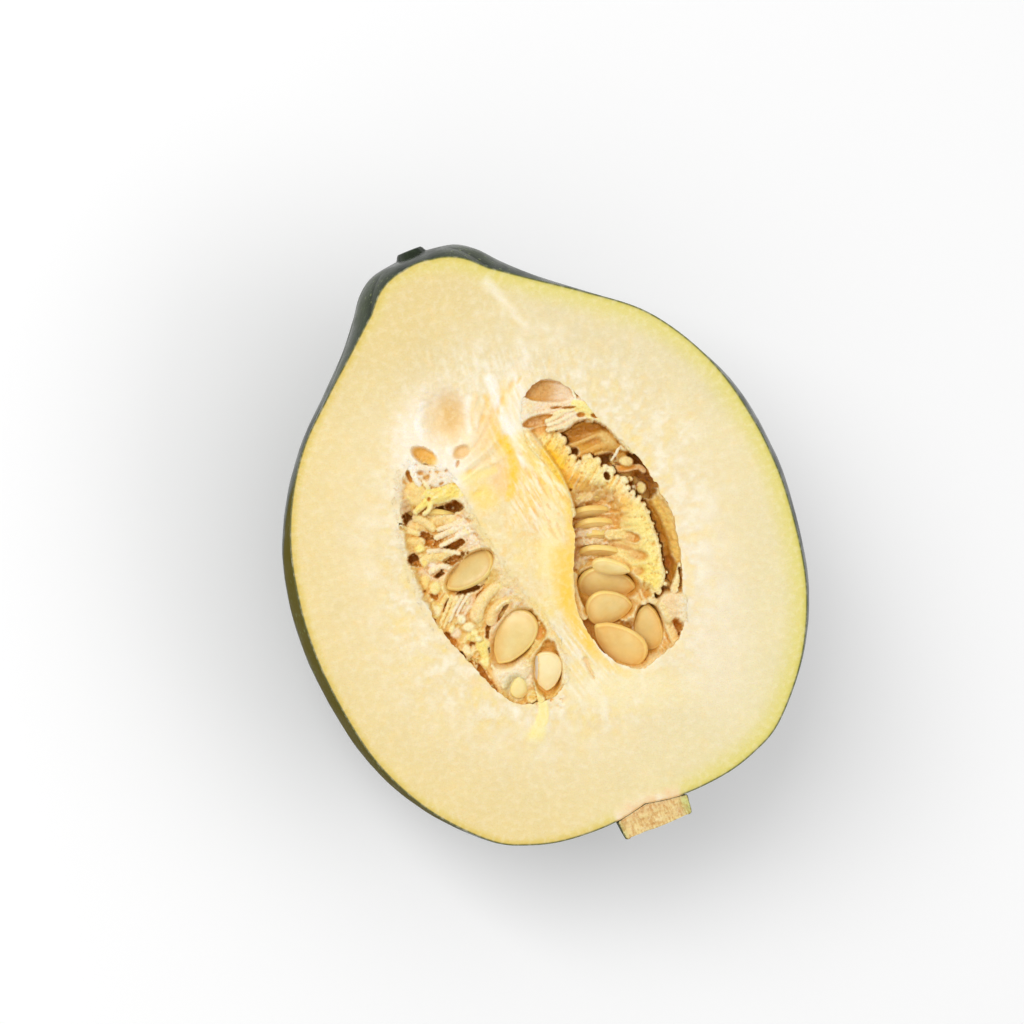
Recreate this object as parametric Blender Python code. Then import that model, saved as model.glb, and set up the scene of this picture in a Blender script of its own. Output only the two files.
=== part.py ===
"""Half of an acorn squash, cut lengthwise, with its stem stub, pulp and seeds.

The pieces are modelled in the fruit's own frame, in millimetres: X to the right across the cut,
Y along the fruit towards the blossom tip, Z out of the cut face, and the cut face at Z = 0. An
empty then lays the whole half on its ribbed back, cut face up, in metres, with +Z up and the
origin on the ground under the middle of its box.
"""

import math

import bmesh
import bpy
import numpy as np
from mathutils import Euler, Matrix, Vector

MM = 0.001
GAP = 0.4

# Outline of the fruit in a groove between two ribs: radius, and place along the fruit
GROOVE_PROFILE = (
    (0.0, -67.6), (10.0, -69.2), (22.0, -68.5), (31.0, -66.0), (38.6, -62.0), (47.2, -53.0),
    (53.2, -44.0), (58.0, -33.0), (60.6, -22.0), (62.2, -8.0), (62.3, 2.0), (61.2, 13.0),
    (58.2, 25.0), (52.4, 37.0), (44.0, 49.0), (34.0, 58.5), (25.5, 66.5), (19.6, 73.0),
    (15.6, 78.0), (11.0, 81.2), (4.6, 82.4), (0.0, 82.2),
)
PROFILE_STEPS = 36
CURVE_STEPS = 12
SHARP_FROM = math.radians(40.0)
RIBS = 10
STEPS_PER_RIB = 6
RIB_HEIGHT = 0.078
RIB_ROUNDNESS = 0.8
RIB_FADE = (34.0, 84.0)
RIB_AT_TIP = 0.35

# The fruit's neck bends: its middle line sinks below the cut and leans left, towards the tip
TIP_END = 82.0
TIP_SINK = 12.0
TIP_SINK_FROM = 12.0
TIP_LEAN = 2.6
TIP_LEAN_FROM = 45.0

# Blossom scar: a low ring on the tip
SCAR_RADIUS = 3.4
SCAR_RISE = 1.5
SCAR_MIDDLE_RISE = 0.75

# Seed chambers, as outlines in the cut face
LEFT_CHAMBER = (
    (-24.6, 34.1), (-30.2, 24.2), (-32.4, 15.6), (-32.7, 5.0), (-31.9, -3.7), (-30.4, -9.4),
    (-26.7, -19.5), (-23.4, -27.5), (-19.8, -31.4), (-12.3, -33.4), (-6.4, -29.8),
    (-4.9, -22.3), (-5.6, -12.6), (-9.1, -4.5), (-11.6, 6.0), (-13.0, 16.0), (-13.6, 25.0),
    (-18.0, 33.0),
)
RIGHT_CHAMBER = (
    (9.3, 39.4), (16.4, 42.4), (21.9, 36.5), (25.3, 27.6), (29.8, 18.0), (32.4, 8.3),
    (33.6, -2.1), (31.6, -12.6), (28.5, -22.2), (25.0, -30.5), (17.7, -33.8), (11.9, -35.0),
    (6.2, -30.2), (2.8, -21.6), (2.6, -14.5), (4.4, -7.1), (7.4, -0.3), (10.2, 8.0),
    (11.1, 14.4), (8.4, 22.2), (6.0, 29.9),
)
OUTLINE_STEPS = 32
CHAMBER_LEVELS = (
    (0.0, 1.0), (-4.0, 1.02), (-10.0, 1.04), (-15.5, 0.96), (-20.5, 0.8), (-24.5, 0.54),
    (-27.0, 0.22),
)
CHAMBER_END = 0.8
CUTTER_TOP = 5.0

# Pulp: how far down its top lies, from the stem end of a chamber to its tip end
PULP_WALL_BOTTOM = -15.0
PULP_RINGS = (1.0, 0.86, 0.72, 0.58, 0.4, 0.2)
LEFT_PULP_TOP = (-4.6, -8.0)
RIGHT_PULP_TOP = (-8.0, -12.5)
PULP_SLOPE = (-24.0, 14.0)
# The curtain of fibre on the right: its free edge stands high, with a deep gap behind it
CURTAIN_EDGE = (
    (13.0, 28.0), (16.6, 21.5), (22.0, 15.6), (25.8, 9.6), (27.4, 2.0), (27.8, -6.0),
    (26.4, -13.0), (22.5, -18.0),
)
CURTAIN_TOP = -3.4
CURTAIN_SPREAD = 7.0
CURTAIN_GAP = 2.0
GAP_FLOOR = -13.0

# Seeds: a flat drop shape, pointed at one end
SEED_LENGTH = 15.6
SEED_WIDTH = 9.6
SEED_THICKNESS = 2.6
SEED_THINNING = 0.45
SEED_TAPER = 0.3
SEED_STEPS = 16
SEED_SHOULDER = (0.84, 0.36)
# Place of the middle x, y, z, then turn of the pointed end in the cut face, lean about the
# seed's length and dip of its pointed end in degrees, and size
LEFT_SEEDS = (
    (-20.8, 18.6, -6.5, -27.0, 50.0, 6.0, 0.8),
    (-24.6, 26.0, -7.5, 60.0, 34.0, 14.0, 0.6),
    (-19.0, 4.0, -4.8, 199.0, 38.0, 4.0, 0.92),
    (-16.6, -4.2, -7.4, 203.0, 68.0, 10.0, 0.82),
    (-15.4, -8.6, -9.0, 205.0, 74.0, 10.0, 0.78),
    (-14.9, -16.0, -4.8, 218.0, 14.0, 5.0, 1.0),
    (-10.2, -27.0, -3.6, 248.0, 14.0, 4.0, 0.78),
    (-18.4, -28.0, -3.2, 60.0, 20.0, 8.0, 0.36),
    (-25.6, -16.0, -5.8, 100.0, 62.0, 14.0, 0.4),
    (-25.0, 10.0, -8.6, 188.0, 66.0, 20.0, 0.58),
    (-28.6, 0.2, -8.4, 200.0, 66.0, 30.0, 0.42),
    (-27.4, -4.2, -8.0, 235.0, 74.0, 14.0, 0.58),
)
RIGHT_SEEDS = (
    (9.7, -28.0, -6.8, 122.0, -28.0, 5.0, 1.0),
    (10.7, -18.8, -8.8, -17.0, 16.0, 5.0, 0.8),
    (12.6, -13.4, -11.4, -28.0, 26.0, 5.0, 0.98),
    (14.8, -9.0, -6.0, -34.0, 36.0, 4.0, 0.66),
    (14.3, -5.2, -9.6, -25.0, 64.0, 6.0, 0.80),
    (15.4, -1.2, -10.0, -22.0, 66.0, 8.0, 0.70),
    (15.3, 2.1, -9.6, -18.0, 62.0, 8.0, 0.70),
    (15.4, 5.4, -9.4, -16.0, 62.0, 8.0, 0.70),
    (15.4, 8.8, -9.6, -14.0, 62.0, 8.0, 0.66),
    (18.2, -27.4, -8.8, 73.0, -24.0, -8.0, 0.8),
    (25.0, -21.8, -9.0, 66.0, -40.0, -8.0, 0.6),
    (27.0, 13.8, -11.4, 110.0, 40.0, 10.0, 0.5),
    (29.4, 6.2, -11.6, 100.0, 50.0, 10.0, 0.44),
)

# Stem stub, halved with the fruit: radius, and place along the fruit from its root
STEM_PROFILE = ((9.6, 0.0), (9.4, 1.6), (9.2, 3.2), (9.0, 4.6))
STEM_ROOT = -69.9
STEM_MIDDLE = 0.7
STEM_RIDGES = 5
STEM_RIDGE_HEIGHT = 0.06
STEM_STEPS = 20

# How the half lies: turned so that the tip points to -X, rolled onto two ribs
REST_ROLL = math.radians(18.0)
REST_PITCH = math.radians(-0.2)


def curve_points(points, steps, closed=False):
    """A smooth curve through the points, read at even distances along it."""
    p = np.array(points, dtype=float)
    count = len(p)
    spans = count if closed else count - 1
    fine = []
    for i in range(spans):
        if closed:
            a, b, c, d = (p[(i + k) % count] for k in (-1, 0, 1, 2))
        else:
            a, b, c, d = (p[min(max(i + k, 0), count - 1)] for k in (-1, 0, 1, 2))
        for t in np.linspace(0.0, 1.0, CURVE_STEPS, endpoint=False):
            fine.append(0.5 * (2 * b + (c - a) * t + (2 * a - 5 * b + 4 * c - d) * t**2
                               + (3 * b - a - 3 * c + d) * t**3))
    fine.append(p[0] if closed else p[-1])
    fine = np.array(fine)
    far = np.concatenate(([0.0], np.cumsum(np.linalg.norm(np.diff(fine, axis=0), axis=1))))
    at = np.linspace(0.0, far[-1], steps + 1)
    if closed:
        at = at[:-1]
    return np.column_stack([np.interp(at, far, fine[:, k]) for k in range(2)])


def smooth(value, low, high):
    """Goes softly from 0 at low to 1 at high."""
    t = min(max((value - low) / (high - low), 0.0), 1.0)
    return t * t * (3.0 - 2.0 * t)


def inset(outline, distance):
    """The outline moved inwards by a distance."""
    before = np.roll(outline, 1, axis=0)
    after = np.roll(outline, -1, axis=0)
    along = after - before
    along /= np.linalg.norm(along, axis=1)[:, None]
    across = np.column_stack([-along[:, 1], along[:, 0]])
    middle = outline.mean(axis=0)
    facing = np.sign(((middle - outline) * across).sum(axis=1).sum())
    return outline + facing * distance * across


def material(name, colour, roughness):
    """A Principled material of one colour."""
    made = bpy.data.materials.new(name)
    made.use_nodes = True
    shader = made.node_tree.nodes["Principled BSDF"]
    shader.inputs["Base Color"].default_value = (*colour, 1.0)
    shader.inputs["Roughness"].default_value = roughness
    shader.inputs["Metallic"].default_value = 0.0
    return made


def new_object(name, bm, surface, parent):
    """An object in the fruit's frame, from a bmesh in millimetres."""
    bmesh.ops.recalc_face_normals(bm, faces=bm.faces)
    mesh = bpy.data.meshes.new(name)
    bm.to_mesh(mesh)
    bm.free()
    mesh.transform(Matrix.Scale(MM, 4))
    mesh.shade_smooth()
    mesh.set_sharp_from_angle(angle=SHARP_FROM)
    made = bpy.data.objects.new(name, mesh)
    if surface:
        mesh.materials.append(surface)
    bpy.context.collection.objects.link(made)
    made.parent = parent
    return made


def loft(rings, first=None, last=None):
    """A closed mesh through rings of points, ended by a point or by a flat face."""
    bm = bmesh.new()
    rows = [[bm.verts.new(p) for p in ring] for ring in rings]
    count = len(rows[0])
    for low, high in zip(rows, rows[1:]):
        for i in range(count):
            j = (i + 1) % count
            bm.faces.new((low[i], low[j], high[j], high[i]))
    for row, end in ((rows[0], first), (rows[-1], last)):
        if end is None:
            bm.faces.new(row)
        else:
            point = bm.verts.new(end)
            for i in range(count):
                bm.faces.new((row[i], row[(i + 1) % count], point))
    return bm


def cutter_from(name, bm, parent):
    """A hidden object that only cuts."""
    made = new_object(name, bm, None, parent)
    made.hide_render = True
    made.display_type = "WIRE"
    return made


def cut(target, cutter):
    """Takes the cutter's volume out of the target."""
    boolean = target.modifiers.new(cutter.name, "BOOLEAN")
    boolean.operation = "DIFFERENCE"
    boolean.solver = "EXACT"
    boolean.object = cutter


def fruit_axis(y):
    """Place of the fruit's middle line across and below the cut."""
    sink = -TIP_SINK * smooth(y, TIP_SINK_FROM, TIP_END)
    lean = -TIP_LEAN * smooth(y, TIP_LEAN_FROM, TIP_END)
    return lean, sink


def fruit_mesh():
    """The whole ribbed fruit, cut in half along Z = 0."""
    profile = curve_points(GROOVE_PROFILE, PROFILE_STEPS)
    around = np.linspace(0.0, 2 * math.pi, RIBS * STEPS_PER_RIB, endpoint=False)
    rings = []
    for radius, y in profile[1:-1]:
        lean, sink = fruit_axis(y)
        fade = 1.0 - (1.0 - RIB_AT_TIP) * smooth(y, *RIB_FADE)
        rise = SCAR_RISE if y > 0.0 and radius < SCAR_RADIUS else 0.0
        ring = []
        for angle in around:
            rib = abs(math.sin(RIBS / 2 * angle)) ** RIB_ROUNDNESS
            reach = radius * (1.0 + RIB_HEIGHT * fade * rib)
            ring.append((lean + reach * math.cos(angle), y + rise, sink + reach * math.sin(angle)))
        rings.append(ring)
    ends = []
    for y in (profile[0][1], profile[-1][1]):
        lean, sink = fruit_axis(y)
        ends.append((lean, y + (SCAR_MIDDLE_RISE if y > 0.0 else 0.0), sink))
    bm = loft(rings, ends[0], ends[1])
    bmesh.ops.recalc_face_normals(bm, faces=bm.faces)
    halve(bm)
    return bm


def halve(bm):
    """Cuts away what lies above Z = 0 and closes the cut with a flat face."""
    parts = bm.verts[:] + bm.edges[:] + bm.faces[:]
    bmesh.ops.bisect_plane(bm, geom=parts, dist=1e-5, plane_co=(0, 0, 0), plane_no=(0, 0, 1),
                           clear_outer=True)
    rim = [e for e in bm.edges if e.is_boundary]
    bmesh.ops.edgeloop_fill(bm, edges=rim)


def chamber_rings(outline, gap):
    """Rings down a chamber's wall, or a gap inside it."""
    middle = outline.mean(axis=0)
    rings = []
    for z, scale in CHAMBER_LEVELS:
        ring = middle + (outline - middle) * scale
        if gap:
            ring = inset(ring, gap)
        rings.append([(x, y, z + gap) for x, y in ring])
    return rings, middle


def chamber_cutter(name, corners, parent):
    """What a seed chamber takes out of the flesh."""
    outline = curve_points(corners, OUTLINE_STEPS, closed=True)
    rings, middle = chamber_rings(outline, 0.0)
    top = [(x, y, CUTTER_TOP) for x, y in outline]
    deepest = (middle[0], middle[1], CHAMBER_LEVELS[-1][0] - CHAMBER_END)
    return cutter_from(name, loft([top] + rings, None, deepest), parent)


def from_curtain(x, y):
    """Distance in the cut face from the curtain's edge: below 0 in the gap behind it."""
    best, side = 1e9, 1.0
    for (ax, ay), (bx, by) in zip(CURTAIN_EDGE, CURTAIN_EDGE[1:]):
        ex, ey, px, py = bx - ax, by - ay, x - ax, y - ay
        t = min(max((px * ex + py * ey) / (ex * ex + ey * ey), 0.0), 1.0)
        far = math.hypot(px - t * ex, py - t * ey)
        if far < best:
            best, side = far, math.copysign(1.0, ey * px - ex * py)
    return best * side


def blend(low, high, share):
    """A value between low and high."""
    return low + (high - low) * share


def left_pulp_top(x, y):
    """Height of the left pulp's surface."""
    return blend(*LEFT_PULP_TOP, smooth(y, *PULP_SLOPE))


def right_pulp_top(x, y):
    """Height of the right pulp's surface, with the curtain standing up from it."""
    floor = blend(*RIGHT_PULP_TOP, smooth(y, *PULP_SLOPE))
    far = from_curtain(x, y)
    if far >= 0.0:
        return blend(CURTAIN_TOP, floor, smooth(far, 0.0, CURTAIN_SPREAD))
    return blend(CURTAIN_TOP, GAP_FLOOR, smooth(-far, 0.0, CURTAIN_GAP))


def pulp(name, corners, top, surface, parent):
    """Pulp that fills a chamber from its bottom up to a given height."""
    outline = curve_points(corners, OUTLINE_STEPS, closed=True)
    walls, middle = chamber_rings(outline, GAP)
    rings = [ring for ring in walls[::-1] if ring[0][2] < PULP_WALL_BOTTOM]
    rim = inset(outline, GAP)
    for scale in PULP_RINGS:
        ring = middle + (rim - middle) * scale
        rings.append([(x, y, top(x, y)) for x, y in ring])
    deepest = (middle[0], middle[1], CHAMBER_LEVELS[-1][0] - CHAMBER_END + GAP)
    highest = (middle[0], middle[1], top(*middle))
    return new_object(name, loft(rings, deepest, highest), surface, parent)


def seed_mesh(size, grow):
    """A flat drop-shaped seed, its pointed end along +X."""
    length = SEED_LENGTH * size / 2 + grow
    width = SEED_WIDTH * size / 2 + grow
    half = SEED_THICKNESS * (1.0 - SEED_THINNING * (1.0 - size)) / 2 + grow
    rim = []
    for t in np.linspace(0.0, 2 * math.pi, SEED_STEPS, endpoint=False):
        side = math.sin(t) * (1.0 - SEED_TAPER * math.cos(t))
        rim.append((length * math.cos(t), width * side))
    inner, shoulder = SEED_SHOULDER
    lower = [(x * inner, y * inner, -2 * half * shoulder) for x, y in rim]
    upper = [(x * inner, y * inner, 2 * half * shoulder) for x, y in rim]
    middle = [(x, y, 0.0) for x, y in rim]
    return loft([lower, middle, upper], (0.0, 0.0, -half), (0.0, 0.0, half))


def seed(name, row, grow, surface, parent):
    """A seed, or where grow is set the socket that it leaves in the pulp."""
    x, y, z, turn, lean, dip, size = row
    bm = seed_mesh(size, grow)
    if surface:
        made = new_object(name, bm, surface, parent)
    else:
        made = cutter_from(name, bm, parent)
    place = Matrix.Rotation(math.radians(turn), 4, "Z")
    place = place @ Matrix.Rotation(math.radians(dip), 4, "Y")
    place = place @ Matrix.Rotation(math.radians(lean), 4, "X")
    made.matrix_local = Matrix.Translation(Vector((x, y, z)) * MM) @ place
    return made


def stem_mesh():
    """The stem's stub, ridged outside and halved with the fruit."""
    around = np.linspace(0.0, 2 * math.pi, STEM_STEPS, endpoint=False)
    rings = []
    for radius, along in STEM_PROFILE:
        ring = []
        for angle in around:
            reach = radius * (1.0 + STEM_RIDGE_HEIGHT * math.cos(STEM_RIDGES * angle))
            ring.append((STEM_MIDDLE + reach * math.cos(angle), STEM_ROOT - along,
                         reach * math.sin(angle)))
        rings.append(ring)
    bm = loft(rings)
    bmesh.ops.recalc_face_normals(bm, faces=bm.faces)
    halve(bm)
    return bm


def fruit_frame():
    """The empty that lays the half down, cut face up."""
    frame = bpy.data.objects.new("fruit_frame", None)
    bpy.context.collection.objects.link(frame)
    lay = Matrix.Rotation(math.pi / 2, 4, "Z")
    frame.matrix_world = Euler((REST_ROLL, REST_PITCH, 0.0)).to_matrix().to_4x4() @ lay
    return frame


def set_on_ground(frame):
    """Moves the half so that its box stands on the ground, centred on the origin."""
    bpy.context.view_layer.update()
    spots = []
    for o in bpy.data.objects:
        if o.type == "MESH" and not o.hide_render:
            spots += [o.matrix_world @ v.co for v in o.data.vertices]
    low = Vector(min(p[k] for p in spots) for k in range(3))
    high = Vector(max(p[k] for p in spots) for k in range(3))
    frame.location -= Vector(((low.x + high.x) / 2, (low.y + high.y) / 2, low.z))


def main():
    """Builds every piece."""
    for old in list(bpy.data.objects):
        bpy.data.objects.remove(old)
    flesh = material("flesh_and_rind", (0.90, 0.76, 0.42), 0.45)
    stem = material("stem", (0.62, 0.53, 0.33), 0.7)
    fibre = material("pulp", (0.93, 0.72, 0.30), 0.5)
    shell = material("seed_coat", (0.84, 0.68, 0.36), 0.4)

    frame = fruit_frame()
    half = new_object("squash_half", fruit_mesh(), flesh, frame)
    new_object("stem_stub", stem_mesh(), stem, frame)
    sides = (
        ("left", LEFT_CHAMBER, left_pulp_top, LEFT_SEEDS),
        ("right", RIGHT_CHAMBER, right_pulp_top, RIGHT_SEEDS),
    )
    for side, outline, top, rows in sides:
        cut(half, chamber_cutter(f"chamber_{side}", outline, frame))
        mass = pulp(f"pulp_{side}", outline, top, fibre, frame)
        for i, row in enumerate(rows, 1):
            seed(f"seed_{side}_{i:02d}", row, 0.0, shell, frame)
            cut(mass, seed(f"socket_{side}_{i:02d}", row, GAP, None, frame))
    set_on_ground(frame)


main()
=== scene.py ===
"""The looks of half an acorn squash: ribbed rind, cut flesh, pulp, seeds and stem stub.

Shapes are made in the fruit's own frame in millimetres, X to the right across the cut, Y towards
the blossom tip and Z out of the cut face, and PLACE lays them down as the half lies. Details of
the cut face and of the seed chambers are given as places in the picture, in pixels, with a depth
below the cut in millimetres.
"""

import math

import bmesh
import bpy
import numpy as np
from mathutils import Euler, Matrix, Vector
from mathutils.geometry import delaunay_2d_cdt
from mathutils.kdtree import KDTree


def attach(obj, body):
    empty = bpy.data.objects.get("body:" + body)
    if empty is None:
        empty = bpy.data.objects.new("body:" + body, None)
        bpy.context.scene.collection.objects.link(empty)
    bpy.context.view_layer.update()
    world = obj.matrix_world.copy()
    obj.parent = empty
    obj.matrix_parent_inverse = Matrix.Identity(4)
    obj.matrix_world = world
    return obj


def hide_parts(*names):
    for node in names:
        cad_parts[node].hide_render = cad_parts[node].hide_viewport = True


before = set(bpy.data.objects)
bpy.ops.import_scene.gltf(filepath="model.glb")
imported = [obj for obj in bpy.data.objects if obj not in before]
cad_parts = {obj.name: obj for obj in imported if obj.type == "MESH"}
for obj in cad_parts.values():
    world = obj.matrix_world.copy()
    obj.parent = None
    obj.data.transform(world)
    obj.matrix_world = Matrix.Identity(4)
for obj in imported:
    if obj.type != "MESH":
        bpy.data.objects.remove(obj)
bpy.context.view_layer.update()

MM = 0.001
PLACE = (
    Matrix.Translation((0.004189, -0.003852, 0.065224))
    @ Euler((math.radians(18.0), math.radians(-0.2), 0.0)).to_matrix().to_4x4()
    @ Matrix.Rotation(math.pi / 2, 4, "Z")
)

# The picture: a pixel's size on the cut face, the pixel above the origin and its axes there
PIXEL = 0.25
ORIGIN_PIXEL = (547.0, 560.0)
PICTURE_RIGHT = (0.9285, -0.3714)
PICTURE_UP = (0.3714, 0.9285)
PICTURE_TURN = 21.8
VIEW_TILT = math.radians(8.0)
TILT_TOWARDS = (-0.39, 0.92)
VIEW_MIDDLE = (-3.7, 14.4)
LENS = 100.0
SENSOR = 36.0
PICTURE_SIZE = 1024

# The fruit's outline in a groove: radius, and place along the fruit
GROOVE_PROFILE = (
    (0, -67.6), (10, -69.2), (22, -68.5), (31, -66), (38.6, -62), (47.2, -53), (53.2, -44), (58, -33),
    (60.6, -22), (62.2, -8), (62.3, 2), (61.2, 13), (58.2, 25), (52.4, 37), (44, 49), (34, 58.5),
    (25.5, 66.5), (19.6, 73), (15.6, 78), (11, 81.2), (4.6, 82.4),
)
SCAR_PROFILE = (
    (4, 82.5), (3.7, 82.9), (3.4, 83.5), (3, 83.9), (2.5, 83.8), (2, 83.3), (1.3, 83), (0.5, 82.9),
)
RIND_ROWS = 170
RIND_STEPS = 480
RIBS = 10
RIB_HEIGHT = 0.078
RIB_ROUNDNESS = 0.8
RIB_FADE = (34.0, 84.0)
RIB_AT_TIP = 0.35
TIP_END = 82.0
TIP_SINK = 12.0
TIP_SINK_FROM = 12.0
TIP_LEAN = 2.6
TIP_LEAN_FROM = 45.0
# Where the skin closes at the stem end and in the scar
STEM_DIMPLE = -67.5
SCAR_BOTTOM = 82.9

# The seed chambers' outlines in the cut
LEFT_CHAMBER = (
    (-24.6, 34.1), (-30.2, 24.2), (-32.4, 15.6), (-32.7, 5), (-31.9, -3.7), (-30.4, -9.4),
    (-26.7, -19.5), (-23.4, -27.5), (-19.8, -31.4), (-12.3, -33.4), (-6.4, -29.8), (-4.9, -22.3),
    (-5.6, -12.6), (-9.1, -4.5), (-11.6, 6), (-13, 16), (-13.6, 25), (-18, 33),
)
RIGHT_CHAMBER = (
    (9.3, 39.4), (16.4, 42.4), (21.9, 36.5), (25.3, 27.6), (29.8, 18), (32.4, 8.3), (33.6, -2.1),
    (31.6, -12.6), (28.5, -22.2), (25, -30.5), (17.7, -33.8), (11.9, -35), (6.2, -30.2), (2.8, -21.6),
    (2.6, -14.5), (4.4, -7.1), (7.4, -0.3), (10.2, 8), (11.1, 14.4), (8.4, 22.2), (6, 29.9),
)
CHAMBER_STEPS = 640
# Height of each ring of a chamber's wall, and its size against the outline in the cut
CHAMBER_LEVELS = (
    (0, 1), (-0.4, 1), (-1, 1.003), (-2, 1.008), (-4, 1.02), (-7, 1.03), (-10, 1.04), (-15.5, 0.96),
    (-20.5, 0.8), (-24.5, 0.54), (-27, 0.22),
)

# Part of the picture where the face gets its finest points, in pixels, and the gap round it
CORE_AREA = (384, 704, 350, 726)
CORE_GAP = 3
CORE_GRAIN = 1.5
# The rest of the face in millimetres: its rectangle, its points' distance, the rows inside the rim
# and how near to an edge a point may lie
FACE_AREA = (-70, 70, -72, 90)
FACE_GRAIN = 1.5
RIM_ROWS = (0.22, 0.5, 0.9, 1.5, 2.3)
RIM_STEPS = 3000
RIM_CLEAR = 3.0
ROW_CLEAR = 0.18
EDGE_CLEAR = 0.22


def ramp(value, low, high):
    """Goes softly from 0 at low to 1 at high."""
    t = np.clip((value - low) / (high - low), 0.0, 1.0)
    return t * t * (3.0 - 2.0 * t)


def hashed(ix, iy, seed):
    """A fixed number from -1 to 1 for each point of a grid."""
    n = (ix * 374761393 + iy * 668265263 + seed * 144269503) & 0xFFFFFFFF
    n = ((n ^ (n >> 13)) * 1274126177) & 0xFFFFFFFF
    return ((n ^ (n >> 16)) & 0xFFFF) / 32767.5 - 1.0


def noise(x, y, seed=0):
    """Smooth noise from -1 to 1, with features about 1 across."""
    x, y = np.asarray(x, float), np.asarray(y, float)
    ix, iy = np.floor(x).astype(np.int64), np.floor(y).astype(np.int64)
    u, v = x - ix, y - iy
    u, v = u * u * (3 - 2 * u), v * v * (3 - 2 * v)
    low = hashed(ix, iy, seed) * (1 - u) + hashed(ix + 1, iy, seed) * u
    high = hashed(ix, iy + 1, seed) * (1 - u) + hashed(ix + 1, iy + 1, seed) * u
    return low * (1 - v) + high * v


def layered(x, y, seed, layers=3):
    """Noise with finer and fainter noise on it."""
    total = noise(x, y, seed)
    for k in range(1, layers):
        total = total + noise(x * 2.03**k, y * 2.03**k, seed + 17 * k) * 0.5**k
    return total / (2.0 - 0.5 ** (layers - 1))


def curve_points(points, steps, closed=False):
    """A smooth curve through the points, read at even distances along it."""
    p = np.array(points, dtype=float)
    count = len(p)
    fine = []
    for i in range(count if closed else count - 1):
        if closed:
            a, b, c, d = (p[(i + k) % count] for k in (-1, 0, 1, 2))
        else:
            a, b, c, d = (p[min(max(i + k, 0), count - 1)] for k in (-1, 0, 1, 2))
        for t in np.linspace(0.0, 1.0, 12, endpoint=False):
            fine.append(0.5 * (2 * b + (c - a) * t + (2 * a - 5 * b + 4 * c - d) * t**2
                               + (3 * b - a - 3 * c + d) * t**3))
    fine.append(p[0] if closed else p[-1])
    fine = np.array(fine)
    far = np.concatenate(([0.0], np.cumsum(np.linalg.norm(np.diff(fine, axis=0), axis=1))))
    at = np.linspace(0.0, far[-1], steps + 1)
    if closed:
        at = at[:-1]
    return np.column_stack([np.interp(at, far, fine[:, k]) for k in range(p.shape[1])])


def tone(code):
    """A colour in linear light from its usual code."""
    c = np.array((code >> 16, code >> 8 & 255, code & 255)) / 255.0
    return np.where(c <= 0.04045, c / 12.92, ((c + 0.055) / 1.055) ** 2.4)


def on_cut(px, py):
    """Place on the cut face, in millimetres, that shows at a pixel."""
    right = (np.asarray(px, float) - ORIGIN_PIXEL[0]) * PIXEL
    up = (ORIGIN_PIXEL[1] - np.asarray(py, float)) * PIXEL
    return (right * PICTURE_RIGHT[0] + up * PICTURE_UP[0],
            right * PICTURE_RIGHT[1] + up * PICTURE_UP[1])


def in_picture(x, y):
    """Pixel where a place on the cut face shows."""
    right = x * PICTURE_RIGHT[0] + y * PICTURE_RIGHT[1]
    up = x * PICTURE_UP[0] + y * PICTURE_UP[1]
    return ORIGIN_PIXEL[0] + right / PIXEL, ORIGIN_PIXEL[1] - up / PIXEL


def below(x, y, z):
    """The place at height z that shows where the place x, y on the cut face would."""
    back = -z * math.tan(VIEW_TILT)
    return x - TILT_TOWARDS[0] * back, y - TILT_TOWARDS[1] * back


def spot(px, py, z):
    """The place at height z that shows at a pixel."""
    x, y = below(*on_cut(px, py), z)
    x, y = np.atleast_1d(x), np.atleast_1d(y)
    return np.column_stack([x, y, np.broadcast_to(z, x.shape)])


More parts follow.
